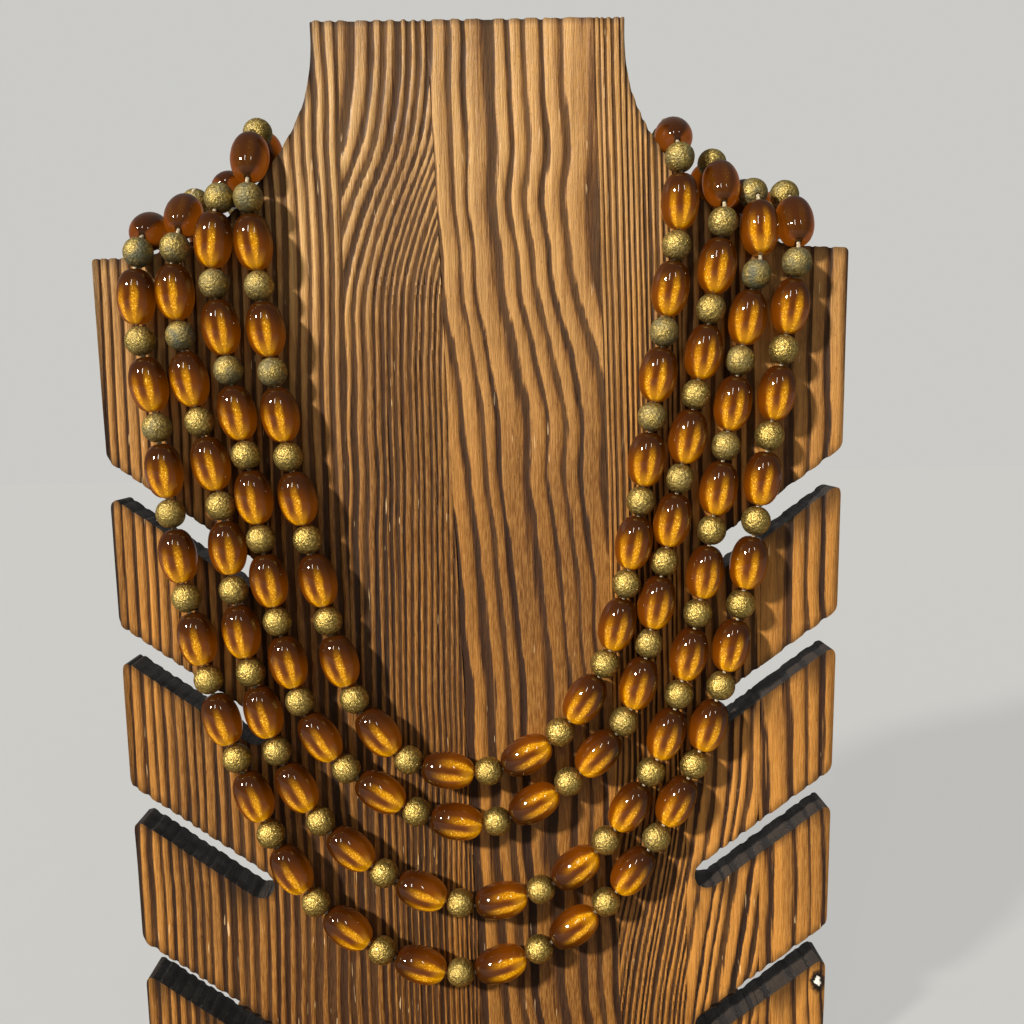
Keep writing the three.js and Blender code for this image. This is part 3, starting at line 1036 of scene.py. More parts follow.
@dataclass
class BustBoard:
    """The flat bust: its outline, its relief and its scorched sides."""

    thick: float = 12.5
    bottom: float = 7.3
    top: float = 303.3
    shoulder_z: float = 241.8
    shoulder_half: float = 103.1
    bottom_half: float = 97.6
    slots: int = 4
    slot_pitch: float = 45.2
    slot_first: float = 186.0
    slot_mouth: float = 100.5
    slot_slope: float = math.radians(35.8)
    slot_width: float = 7.5
    slot_end: float = 64.0
    corner_low: float = 4.5
    corner_top: float = 2.0
    corner_shoulder: float = 1.2
    corner_bottom: float = 4.0
    groove_depth: float = 0.45
    end_wear: float = 0.3
    fine_step: float = 0.55
    row_step: float = 2.5
    back_coarse: float = 1.6
    back_groove: float = 0.3
    margin: float = 3.0
    seam: float = 0.02
    patch_wide: float = 5.0
    patch_long: float = 30.0
    arc_steps: int = 8
    rough_wear: float = 0.1
    skin_depth: float = 0.06
    skin_wide: float = 1.3
    skin_long: float = 14.0
    rim_burn: float = 0.7
    rim_reach: tuple[float, float] = (0.4, 1.9)
    halo_burn: float = 0.9
    halo_least: float = 3.0
    halo_more: float = 10.0
    fade_share: float = 0.12
    fade_z: tuple[float, float] = (150.0, 245.0)
    sharp_angle: float = math.radians(38)
    neck: Sequence[tuple[float, float]] = (
        (42.1, 303.3), (42.1, 296.0), (43.4, 286.0), (46.8, 277.0), (53.0, 267.0),
        (62.0, 256.2), (73.0, 247.6), (84.0, 243.4), (93.0, 242.2), (103.1, 241.8),
    )
    grain: GrainField = field(default_factory=lambda: GrainField(STRIPS))

    def side_x(self, z: float) -> float:
        """Half width of the board at a height."""
        share = (self.shoulder_z - z) / (self.shoulder_z - self.bottom)
        return self.shoulder_half + (self.bottom_half - self.shoulder_half) * share

    def mouth(self, start: float) -> tuple[float, float]:
        """Where a slot's edge meets the side.

        Args:
            start: The edge's height at the mouth's nominal place.

        Returns:
            The corner.
        """
        z = start
        for _ in range(8):
            z = start - (self.slot_mouth - self.side_x(z)) * math.tan(self.slot_slope)
        return self.side_x(z), z

    def slot_corners(self, index: int) -> list[tuple[float, float, float]]:
        """One slot of the right side.

        Args:
            index: The slot's number from the top.

        Returns:
            Corners with the radius of each.
        """
        upper = self.slot_first - index * self.slot_pitch
        lower = upper - self.slot_width / math.cos(self.slot_slope)
        reach = self.slot_mouth - self.slot_end
        middle = (upper + lower) / 2 - reach * math.tan(self.slot_slope)
        corners = [(*self.mouth(upper), self.corner_low)]
        for step in range(self.arc_steps + 1):
            angle = math.pi / 2 + self.slot_slope + math.pi * step / self.arc_steps
            corners.append((
                self.slot_end + self.slot_width / 2 * math.cos(angle),
                middle + self.slot_width / 2 * math.sin(angle), 0.0))
        corners.append((*self.mouth(lower), self.corner_top))
        return corners

    def corners(self) -> list[tuple[float, float, float]]:
        """All corners of the outline with their radii.

        Returns:
            Across, up and radius of each.
        """
        line = spline([(x, 0.0, z) for x, z in self.neck], 6 * (len(self.neck) - 1))
        half = [(p[0], p[2], 0.0) for p in line]
        half[-1] = (half[-1][0], half[-1][1], self.corner_shoulder)
        for index in range(self.slots):
            half.extend(self.slot_corners(index))
        half.append((self.bottom_half, self.bottom, self.corner_bottom))
        return half + [(-x, z, r) for x, z, r in reversed(half)]

    def outline(self) -> Points:
        """The outline with rounded corners.

        Returns:
            A closed line of points.
        """
        corners = self.corners()
        out: list[np.ndarray] = []
        for index, (x, z, radius) in enumerate(corners):
            here = np.array([x, z])
            if radius == 0:
                out.append(here)
                continue
            back = np.array(corners[index - 1][:2]) - here
            ahead = np.array(corners[(index + 1) % len(corners)][:2]) - here
            back, ahead = back / np.linalg.norm(back), ahead / np.linalg.norm(ahead)
            half = math.acos(np.clip(back @ ahead, -1, 1)) / 2
            reach = radius / math.tan(half)
            for step in range(self.arc_steps + 1):
                part = step / self.arc_steps
                ends = here + back * reach * (1 - part) ** 2 + ahead * reach * part ** 2
                out.append(ends)
        return np.array(out)

    def fine_outline(self) -> Points:
        """The outline cut up finely and worn back where it crosses a groove.

        Returns:
            A closed line of points.
        """
        rough = self.outline()
        ring = np.vstack([rough, rough[:1]])
        span = np.linalg.norm(np.diff(ring, axis=0), axis=1)
        total = np.concatenate([[0], np.cumsum(span)])
        count = int(total[-1] / self.fine_step)
        at = np.arange(count) * total[-1] / count
        line = np.column_stack([np.interp(at, total, ring[:, k]) for k in (0, 1)])
        way = np.roll(line, -1, axis=0) - np.roll(line, 1, axis=0)
        way /= np.linalg.norm(way, axis=1, keepdims=True)
        # The outline runs clockwise seen from the front, so inward is to its right.
        inward = np.column_stack([way[:, 1], -way[:, 0]])
        if self._area(line) > 0:
            inward = -inward
        across = np.abs(way[:, 0])
        wear = self.end_wear * self.grain.dark(line[:, 0], line[:, 1]) * across
        wear += self.rough_wear * (
            1 + value_noise(at / self.skin_wide, 0.0, 5)) * across
        return line + inward * wear[:, None]

    @staticmethod
    def _area(line: Points) -> float:
        """Signed area of a closed line."""
        after = np.roll(line, -1, axis=0)
        return float(np.sum(line[:, 0] * after[:, 1] - after[:, 0] * line[:, 1]) / 2)

    def cutter(self) -> bpy.types.Object:
        """The outline as a thick prism, to cut the slab with.

        Returns:
            The prism.
        """
        line = self.fine_outline()
        if self._area(line) < 0:
            line = line[::-1]
        count = len(line)
        deep = self.thick
        front = np.column_stack([line[:, 0], np.full(count, -deep), line[:, 1]])
        back = front * [1, -1, 1]
        faces: list[Sequence[int]] = [range(count), range(2 * count - 1, count - 1, -1)]
        for k in range(count):
            after = (k + 1) % count
            faces.append((k, count + k, count + after, after))
        return mesh_object("cutter", np.vstack([front, back]), faces, smooth=False)

    def columns(self, coarse: float) -> list[tuple[int, float]]:
        """Columns of the slab's grid, each a strip and a share of its width.

        Args:
            coarse: Multiplies the spacing of the columns.

        Returns:
            Strip number and share for each column.
        """
        found: list[tuple[int, float]] = []
        for index, strip in enumerate(self.grain.strips):
            wide = float(self.grain.side(index + 1, 150.0) - self.grain.side(index, 150.0))
            count = max(2, int(wide / (strip.step * coarse)))
            shares = np.linspace(0.0, 1.0, count + 1)
            shares[0], shares[-1] = self.seam / wide, 1 - self.seam / wide
            found.extend((index, float(s)) for s in shares)
        return found

    def face_grid(
        self, y: float, way: float, coarse: float, groove: float
    ) -> tuple[Points, int, int]:
        """One relief face of the slab.

        Args:
            y: Where the raised ribs lie.
            way: +1 where grooves run towards +Y, else -1.
            coarse: Multiplies the spacing of rows and columns.
            groove: Depth of the grooves.

        Returns:
            Points, rows and columns.
        """
        low, high = self.bottom - self.margin, self.top + self.margin
        z = np.linspace(low, high, int((high - low) / (self.row_step * coarse)) + 1)
        xs = []
        for index, share in self.columns(coarse):
            left, right = self.grain.side(index, z), self.grain.side(index + 1, z)
            xs.append(left + (right - left) * share)
        x = np.array(xs).T
        x[:, 0], x[:, -1] = -self.grain.right, self.grain.right
        zz = np.repeat(z[:, None], x.shape[1], axis=1)
        depth = groove * self.grain.dark(x, zz)
        depth += self.skin_depth * (
            1 + value_noise(x / self.skin_wide, zz / self.skin_long, 9))
        grid = np.stack([x, y + way * depth, zz], axis=-1)
        return grid.reshape(-1, 3), x.shape[0], x.shape[1]

    def slab(self) -> bpy.types.Object:
        """A closed slab, larger than the outline, with both faces in relief.

        Returns:
            The slab.
        """
        half = self.thick / 2
        front, rows, cols = self.face_grid(-half, 1.0, 1.0, self.groove_depth)
        back, rows_b, cols_b = self.face_grid(half, -1.0, self.back_coarse, self.back_groove)
        base = len(front)
        faces: list[Sequence[int]] = []
        for r in range(rows - 1):
            for c in range(cols - 1):
                a = r * cols + c
                faces.append((a, a + 1, a + cols + 1, a + cols))
        for r in range(rows_b - 1):
            for c in range(cols_b - 1):
                a = base + r * cols_b + c
                faces.append((a, a + cols_b, a + cols_b + 1, a + 1))
        low = list(range(cols)), [base + c for c in range(cols_b)]
        high = ([(rows - 1) * cols + c for c in range(cols)],
                [base + (rows_b - 1) * cols_b + c for c in range(cols_b)])
        left = ([r * cols for r in range(rows)],
                [base + r * cols_b for r in range(rows_b)])
        right = ([r * cols + cols - 1 for r in range(rows)],
                 [base + r * cols_b + cols_b - 1 for r in range(rows_b)])
        sides = ((low, True), (high, False), (left, False), (right, True))
        for (near, far), turned_over in sides:
            loop = near + far[::-1]
            faces.append(loop[::-1] if turned_over else loop)
        return mesh_object("board", np.vstack([front, back]), faces)

    def burnt(self, spots: Points) -> np.ndarray:
        """How scorched each point is by the torch, most of all below a cut.

        Args:
            spots: Points on the board.

        Returns:
            A value for each, 0 to 1.
        """
        line = self.fine_outline()
        tree = KDTree(len(line))
        for number, (x, z) in enumerate(line):
            tree.insert((x, 0.0, z), number)
        tree.balance()
        near = np.array([tree.find((x, 0.0, z))[2] for x, _, z in spots])
        rim = self.rim_burn * (1 - smoothstep(*self.rim_reach, near))
        x, z = spots[:, 0], spots[:, 2]
        halo = np.zeros(len(spots))
        for index in range(self.slots):
            lower = self.slot_first - index * self.slot_pitch
            lower -= self.slot_width / math.cos(self.slot_slope)
            below = lower - (self.slot_mouth - np.abs(x)) * math.tan(self.slot_slope) - z
            patch = smoothstep(-0.3, 0.5, value_noise(
                x / self.patch_wide, z / self.patch_long, 71 + index))
            reach = self.halo_least + self.halo_more * patch
            fade = (1 - smoothstep(0.0, 1.0, below / reach)) * (below > -0.5)
            halo = np.maximum(halo, fade * patch * (np.abs(x) > self.slot_end - 3))
        return np.maximum(rim, self.halo_burn * halo)

    def build(self) -> bpy.types.Object:
        """Makes the board and dresses it.

        Returns:
            The board.
        """
        board, cutter = self.slab(), self.cutter()
        pine, char = BrushedPine().build(), CharredEnd().build()
        for solid in (board, cutter):
            for material in (pine, char):
                solid.data.materials.append(material)
        for face in cutter.data.polygons:
            face.material_index = 1
        cut = board.modifiers.new("cut", "BOOLEAN")
        cut.operation, cut.solver, cut.object = "INTERSECT", "MANIFOLD", cutter
        view = bpy.context.evaluated_depsgraph_get()
        result = bpy.data.meshes.new_from_object(board.evaluated_get(view))
        board.modifiers.clear()
        board.data = result
        bpy.data.objects.remove(cutter)
        spots = places(result)
        count, share, tone = self.grain.ring(spots[:, 0], spots[:, 2])
        # The dark bands grow a little weaker towards the top.
        top_weakening = 1.0 - self.fade_share * smoothstep(*self.fade_z, spots[:, 2])
        numbers = {"ring": count, "share": share, "tone": tone,
                   "force": top_weakening * self.grain.force(count), "burnt": self.burnt(spots)}
        for key, values in numbers.items():
            store(result, key, values)
        result.shade_smooth()
        result.set_sharp_from_angle(angle=self.sharp_angle)
        seat(board, ["board"], [])
        return board


# --------------------------------------------------------------------------
# Routes of the threads
# --------------------------------------------------------------------------
def spline(points: Sequence[Sequence[float]], count: int) -> Points:
    """A smooth line through points, with even steps in each stretch.

    Args:
        points: Points to pass through.
        count: Number of steps in all.

    Returns:
        count + 1 points.
    """
    given = np.asarray(points, float)
    last = len(given) - 1
    padded = np.vstack([2 * given[0] - given[1], given, 2 * given[-1] - given[-2]])
    out = []
    for step in range(count + 1):
        place = step * last / count
        index = min(int(place), last - 1)
        part = place - index
        p = padded[index:index + 4]
        gaps = [max(np.sum((p[k + 1] - p[k]) ** 2) ** 0.25, 1e-4) for k in range(3)]
        first = (p[1] - p[0]) / gaps[0] - (p[2] - p[0]) / (gaps[0] + gaps[1])
        first = (first + (p[2] - p[1]) / gaps[1]) * gaps[1]
        second = (p[2] - p[1]) / gaps[1] - (p[3] - p[1]) / (gaps[1] + gaps[2])
        second = (second + (p[3] - p[2]) / gaps[2]) * gaps[1]
        square, cube = part * part, part ** 3
        out.append(
            p[1] + first * part
            + (-3 * p[1] + 3 * p[2] - 2 * first - second) * square
            + (2 * p[1] - 2 * p[2] + first + second) * cube)
    return np.array(out)


class Bead(Enum):
    """The two kinds of bead, by length along the thread."""

    AMBER = 14.9
    BRASS = 7.8


@dataclass(frozen=True)
class Crossing:
    """The bead that lies over the top edge: place, lift and tilt of it."""

    x: float
    forward: float
    up: float
    tilt: float


@dataclass(frozen=True)
class StrandPlan:
    """Where one strand runs, in the plane of the board."""

    name: str
    count: int
    left: Crossing
    right: Crossing
    front: Sequence[tuple[float, float]]
    back: Sequence[tuple[float, float]]


PLANS = (
    StrandPlan(
        "A", 41, Crossing(-88.0, 3.0, 6.6, 20.0), Crossing(87.5, 8.4, 5.6, 58.0),
        front=((-90.5, 231), (-86, 197), (-79.5, 146), (-67, 101), (-46, 60),
               (-8, 40), (31, 57), (56, 92), (70, 134), (80, 190), (86.5, 231)),
        back=((81, 231), (66, 227), (50, 229), (34, 238)),
    ),
    StrandPlan(
        "B", 37, Crossing(-78.0, 5.0, 7.6, 40.0), Crossing(77.2, 11.6, 0.8, 80.0),
        front=((-80, 238), (-77, 210), (-70, 177), (-64, 131), (-51, 93), (-30, 71),
               (-3, 60), (25, 69), (47, 97), (58, 131), (66, 176), (72, 211),
               (76.5, 236)),
        back=((71, 241), (56, 242), (40, 248)),
    ),
    StrandPlan(
        "C", 35, Crossing(-66.0, 0.0, 8.0, 4.0), Crossing(67.8, 7.0, 7.6, 52.0),
        front=((-69.5, 246), (-67.5, 221), (-61, 180), (-56, 145), (-46, 110),
               (-27, 92), (-2, 83), (24, 95), (41, 114), (49, 146), (56, 182),
               (63, 218), (67, 245)),
        back=((60, 254), (48, 255.5), (38, 258)),
    ),
    StrandPlan(
        "D", 33, Crossing(-58.9, 7.9, 8.0, 58.0), Crossing(55.6, 3.0, 9.0, 24.0),
        front=((-59, 255), (-56, 225), (-51, 188), (-44, 154), (-36, 122),
               (-22, 103), (-3, 98), (17, 105), (34, 127), (43, 163), (49, 203),
               (54, 236), (56.5, 255)),
        back=((48, 268), (38, 267.5)),
    ),
)


@dataclass(frozen=True)
class Laid:
    """One bead on its thread, from start to end."""

    kind: Bead
    start: Points
    end: Points


@dataclass
class Threading:
    """Lays beads along the routes as the solids have them."""

    board: BustBoard
    stand_off: float = 5.45
    saddle_gap: float = 1.3
    corner_drop: float = 6.6
    back_bulge: float = 3.0
    back_crest: float = 10.0
    back_shift: float = 1.2
    back_gap: float = 0.15
    ring_x: float = 22.0
    ring_z: float = 262.0
    ring_reach: float = 5.85
    tail_least: float = 5.0
    turn_out: float = 0.2
    crest_forward: float = 3.0
    gap_least: float = 0.01
    gap_most: float = 1.2
    steps: int = 900

    @property
    def plane(self) -> float:
        """Distance of the bead middles from the board's middle."""
        return self.board.thick / 2 + self.stand_off

    def edge_at(self, x: float) -> float:
        """Height of the shoulder's edge.

        Args:
            x: The place across.

        Returns:
            The height there.
        """
        neck = self.board.neck
        line = spline([(a, 0.0, b) for a, b in neck], 3 * (len(neck) - 1))
        at = abs(x)
        for before, after in zip(line[:-1], line[1:]):
            if after[0] >= at and after[0] > before[0]:
                share = (at - before[0]) / (after[0] - before[0])
                return float(before[2] + (after[2] - before[2]) * share)
        return self.board.shoulder_z

    def saddle(self, over: Crossing, side: int, beyond: float = 0.0) -> Points:
        """An end of the bead that crosses the top edge.

        Args:
            over: The crossing.
            side: -1 for its front end, +1 for the back one.
            beyond: Further out along its thread.

        Returns:
            The point.
        """
        tilt = math.radians(over.tilt)
        middle = np.array([over.x, -over.forward, self.edge_at(over.x) + over.up])
        way = np.array([0.0, math.cos(tilt), math.sin(tilt)])
        return middle + way * side * (Bead.AMBER.value / 2 + beyond)

    def front_line(self, plan: StrandPlan) -> Points:
        """The thread over the front face.

        Args:
            plan: The strand.

        Returns:
            The line, from left to right.
        """
        flat = [np.array([x, -self.plane, z]) for x, z in plan.front]
        left = self.saddle(plan.left, -1, self.saddle_gap)
        right = self.saddle(plan.right, -1, self.saddle_gap)

        def turn(end: Points, after: Points) -> Points:
            """The point where the thread comes down from the edge."""
            return np.array([
                (end[0] + after[0]) / 2, -self.plane - self.turn_out,
                max(end[2] - self.corner_drop, (end[2] + after[2]) / 2)])

        return spline(
            [left, turn(left, flat[0]), *flat, turn(right, flat[-1]), right], self.steps)

    def back_line(self, plan: StrandPlan, side: int) -> Points:
        """The thread behind the board, from the edge to the end ring.

        Args:
            plan: The strand.
            side: -1 for the left, +1 for the right.

        Returns:
            The line.
        """
        over = plan.left if side < 0 else plan.right
        start = self.saddle(over, 1, self.saddle_gap)
        edge = self.edge_at(over.x)
        x = start[0] - side * self.back_shift
        turn = []
        if start[1] < self.back_crest / 2:
            turn.append([x, start[1] / 2 + self.crest_forward, start[2] + self.back_bulge])
            turn.append([x, self.plane, edge + self.back_crest])
        turn.append([x, self.plane + self.back_bulge, edge])
        flat = [np.array([side * a, self.plane, b]) for a, b in plan.back]
        centre = np.array([side * self.ring_x, self.plane, self.ring_z])
        way = flat[-1] - centre
        stop = centre + way / np.linalg.norm(way) * self.ring_reach
        return spline([start, *turn, *flat, stop], self.steps)

    @staticmethod
    def advance(
        line: Points, index: int, point: Points, span: float
    ) -> tuple[int, Points] | None:
        """The first place further on whose straight distance is a given span.

        Args:
            line: The line.
            index: Where the search starts.
            point: Where the span starts.
            span: The distance.

        Returns:
            Index and point, or None past the end.
        """
        while index < len(line) and np.linalg.norm(line[index] - point) < span:
            index += 1
        if index >= len(line):
            return None
        a = line[index - 1] if index > 0 else point
        low, high = 0.0, 1.0
        for _ in range(30):
            middle = (low + high) / 2
            if np.linalg.norm(a + (line[index] - a) * middle - point) < span:
                low = middle
            else:
                high = middle
        return index, a + (line[index] - a) * high

    def lay(
        self, line: Points, kinds: Sequence[Bead], gap: float
    ) -> tuple[list[Laid], float]:
        """Lays beads from the start of a line.

        Args:
            line: The line.
            kinds: The beads in order.
            gap: Thread shown between two beads.

        Returns:
            The beads and the length left, below 0 if they don't fit.
        """
        laid: list[Laid] = []
        index, point = 0, line[0]
        for kind in kinds:
            start = (index, point) if not laid else self.advance(line, index, point, gap)
            end = start and self.advance(line, start[0], start[1], kind.value)
            if not end:
                return laid, -1.0
            laid.append(Laid(kind, start[1], end[1]))
            index, point = end
        rest = np.linalg.norm(np.diff(line[index:], axis=0), axis=1).sum()
        return laid, float(np.linalg.norm(line[index] - point) + rest)

    def row(self, count: int) -> list[Bead]:
        """A row of beads that starts and ends with brass."""
        return [Bead.BRASS if k % 2 == 0 else Bead.AMBER for k in range(count)]

    def front_beads(self, plan: StrandPlan) -> list[Laid]:
        """The front beads, spaced to fill their line.

        Args:
            plan: The strand.

        Returns:
            The beads from left to right.
        """
        line, kinds = self.front_line(plan), self.row(plan.count)
        low, high = self.gap_least, self.gap_most
        for _ in range(24):
            gap = (low + high) / 2
            if self.lay(line, kinds, gap)[1] < 0:
                high = gap
            else:
                low = gap
        return self.lay(line, kinds, low)[0]

    def back_beads(self, plan: StrandPlan, side: int) -> list[Laid]:
        """The beads behind the board, as many as leave room for the thread's end.

        Args:
            plan: The strand.
            side: -1 for the left, +1 for the right.

        Returns:
            The beads from the edge inward.
        """
        line = self.back_line(plan, side)
        best: list[Laid] = []
        for count in range(1, 20, 2):
            laid, left = self.lay(line, self.row(count), self.back_gap)
            if left < self.tail_least:
                break
            best = laid
        return best

    def over_bead(self, over: Crossing) -> Laid:
        """The bead across the top edge."""
        return Laid(Bead.AMBER, self.saddle(over, -1), self.saddle(over, 1))


# --------------------------------------------------------------------------
# Beads
# --------------------------------------------------------------------------
@dataclass
class MeshPile:
    """Gathers many small meshes into one, with numbers stored on the points."""

    verts: list[Points] = field(default_factory=list)
    faces: list[Sequence[int]] = field(default_factory=list)
    values: dict[str, list[np.ndarray]] = field(default_factory=dict)
    size: int = 0

    def add(
        self, verts: Points, faces: Iterable[Sequence[int]], **values: np.ndarray
    ) -> None:
        """Adds one mesh.

        Args:
            verts: Its points in millimetres.
            faces: Its faces.
            **values: Numbers for each of its points.
        """
        self.verts.append(verts)
        self.faces.extend(tuple(k + self.size for k in f) for f in faces)
        for name, numbers in values.items():
            full = np.broadcast_to(np.asarray(numbers, float), (len(verts),))
            self.values.setdefault(name, []).append(full)
        self.size += len(verts)

    def make(self, name: str) -> bpy.types.Object:
        """Makes the joined object.

        Args:
            name: Its name.

        Returns:
            The object.
        """
        made = mesh_object(name, np.vstack(self.verts), self.faces)
        for key, parts in self.values.items():
            store(made.data, key, np.concatenate(parts))
        return made


def skin(rows: int, sides: int, closed: bool = True) -> list[Sequence[int]]:
    """Faces between rows of points, each row a loop.

    Args:
        rows: How many rows.
        sides: Points in each.
        closed: Whether the last row joins the first.

    Returns:
        The faces.
    """
    faces: list[Sequence[int]] = []
    for row in range(rows if closed else rows - 1):
        here, after = row * sides, (row + 1) % rows * sides
        for k in range(sides):
            n = (k + 1) % sides
            faces.append((here + k, here + n, after + n, after + k))
    return faces


def turned(profile: Sequence[tuple[float, float]], sides: int) -> tuple[Points, list]:
    """A closed turned form along X.

    Args:
        profile: Places along and radii; a loop that returns through the bore.
        sides: Points round it.

    Returns:
        Points as (along, radius, angle) turned into x, y, z, and faces.
    """
    angle = np.arange(sides) * 2 * math.pi / sides
    rows = [np.column_stack([
        np.full(sides, x), r * np.cos(angle), r * np.sin(angle)]) for x, r in profile]
    return np.vstack(rows), skin(len(profile), sides)


# The way towards the light: a bead's long axis is turned away from it, so the amber beads'
# painted shade lies towards the light and their painted glow away from it.
LIGHT_WAY = np.array([-0.62, -0.52, 0.78])
# The way to the right and a little down: the second axis of a bead is turned to it, which sets
# where the amber beads' painted light streaks lie.
SIDE_WAY = np.array([1.0, 0.0, -0.35])
FRONT = np.array([0.0, -1.0, 0.0])
UP = np.array([0.0, 0.0, 1.0])
BACK = np.array([0.0, 1.0, 0.0])
RIGHT = np.array([1.0, 0.0, 0.0])


def hoop(
    middle: Points, reaches: tuple[Points, Points], axis: Points,
    wire: float, turns: int, sides: int,
) -> tuple[Points, list]:
    """A closed ring or oval of round wire.

    Args:
        middle: Its middle.
        reaches: From the middle to the wire, along its two ways.
        axis: Unit way through it.
        wire: Radius of the wire.
        turns: Points along the wire.
        sides: Points round the wire.

    Returns:
        Points and faces.
    """
    angle = np.arange(turns)[:, None] * 2 * math.pi / turns
    first, second = (way / np.linalg.norm(way) for way in reaches)
    line = middle + np.cos(angle) * reaches[0] + np.sin(angle) * reaches[1]
    out = np.cos(angle) * first + np.sin(angle) * second
    round_it = np.arange(sides)[None, :, None] * 2 * math.pi / sides
    verts = line[:, None, :] + wire * (
        np.cos(round_it) * out[:, None, :] + np.sin(round_it) * axis)
    return verts.reshape(-1, 3), skin(turns, sides)


def bead_axes(bead: Laid) -> tuple[Points, Points]:
    """Middle and axes of a bead.

    Args:
        bead: Where it lies.

    Returns:
        The middle, and the ways along it and away from the light, across and outward.
    """
    way = (bead.end - bead.start) / np.linalg.norm(bead.end - bead.start)
    if way @ LIGHT_WAY > 0:
        way = -way
    outward = FRONT - way * (FRONT @ way)
    if np.linalg.norm(outward) < 0.3:
        outward = UP - way * way[2]
    outward /= np.linalg.norm(outward)
    across = np.cross(way, outward)
    if across @ SIDE_WAY < 0:
        across = -across
    return (bead.start + bead.end) / 2, np.array([way, across, outward])


@dataclass
class BeadShapes:
    """The turned forms of the beads and their small differences."""

    amber_radius: float = 5.12
    brass_radius: float = 4.0
    bore: float = 0.75
    amber_sides: int = 28
    brass_sides: int = 24
    amber_fullness: float = 0.72
    brass_fullness: float = 0.93
    amber_arc: tuple[float, float, int] = (8, 172, 17)
    brass_arc: tuple[float, float, int] = (16, 164, 13)
    amber_reach: float = 0.995
    amber_end: float = 0.965
    brass_reach: float = 1.03
    brass_end: float = 0.97
    lip: float = 0.3
    fat_change: float = 0.012
    dent: float = 0.05

    def amber_profile(self) -> list[tuple[float, float]]:
        """Barrel with softly rounded ends and a bore.

        Returns:
            Places along and radii.
        """
        half = Bead.AMBER.value / 2
        rows = []
        for angle in np.linspace(*self.amber_arc):
            t = math.radians(angle)
            along = -half * math.cos(t)
            radius = self.amber_radius * math.sin(t) ** self.amber_fullness
            rows.append((along * self.amber_reach, max(radius, self.bore + self.lip)))
        ends = half * self.amber_end
        return [(-ends, self.bore)] + rows + [(ends, self.bore)]

    def brass_profile(self) -> list[tuple[float, float]]:
        """Ball, a little flattened at the bore.

        Returns:
            Places along and radii.
        """
        half = Bead.BRASS.value / 2
        rows = []
        for angle in np.linspace(*self.brass_arc):
            t = math.radians(angle)
            rows.append((-half * math.cos(t) * self.brass_reach,
                         self.brass_radius * math.sin(t) ** self.brass_fullness))
        ends = half * self.brass_end
        return [(-ends, self.bore)] + rows + [(ends, self.bore)]

    def add_amber(self, pile: MeshPile, bead: Laid, number: int, shine: float) -> None:
        """Adds an amber bead.

        Args:
            pile: Takes it.
            bead: Where it lies.
            number: Sets its small differences.
            shine: How much painted light it shows, the painted glow and streaks: full on the
                front face, little elsewhere.
        """
        local, faces = turned(self.amber_profile(), self.amber_sides)
        middle, axes = bead_axes(bead)
        odd = float(hashed(np.array(number), 7))
        fat = 1 + self.fat_change * float(hashed(np.array(number), 8))
        world = middle + (local * [1, fat, fat]) @ axes
        pile.add(
            world, faces,
            along=local[:, 0] / (Bead.AMBER.value / 2),
            across=local[:, 1] / self.amber_radius,
            odd=odd, shine=shine)

    def add_brass(self, pile: MeshPile, bead: Laid, number: int) -> None:
        """Adds a brass bead.

        Args:
            pile: Takes it.
            bead: Where it lies.
            number: Sets its small differences.
        """
        local, faces = turned(self.brass_profile(), self.brass_sides)
        middle, axes = bead_axes(bead)
        reach = np.linalg.norm(local[:, 1:], axis=1)
        dents = self.dent * value_noise(local[:, 0] * 1.1 + number * 7,
                                   np.arctan2(local[:, 2], local[:, 1]) * 2.2, 3)
        dents = np.where(reach > self.bore + 0.2, dents, 0.0)
        local = local * (1 + dents[:, None] / self.brass_radius)
        world = middle + local @ axes
        pile.add(world, faces, dull=self.dullness(middle, number))

    @staticmethod
    def dullness(middle: Points, number: int) -> float:
        """How tarnished a brass bead is: most of all near the neck.

        Args:
            middle: Where it lies.
            number: Sets its own share of chance.

        Returns:
            A value from 0 to 1.
        """
        high = float(smoothstep(140.0, 262.0, middle[2]))
        leftish = 0.75 if middle[0] < 0 else 0.6
        chance = 0.5 + 0.5 * float(hashed(np.array(number), 19))
        return float(np.clip(0.04 + leftish * high * (0.3 + 0.75 * chance)
                             + 0.25 * chance ** 3, 0.03, 0.95))


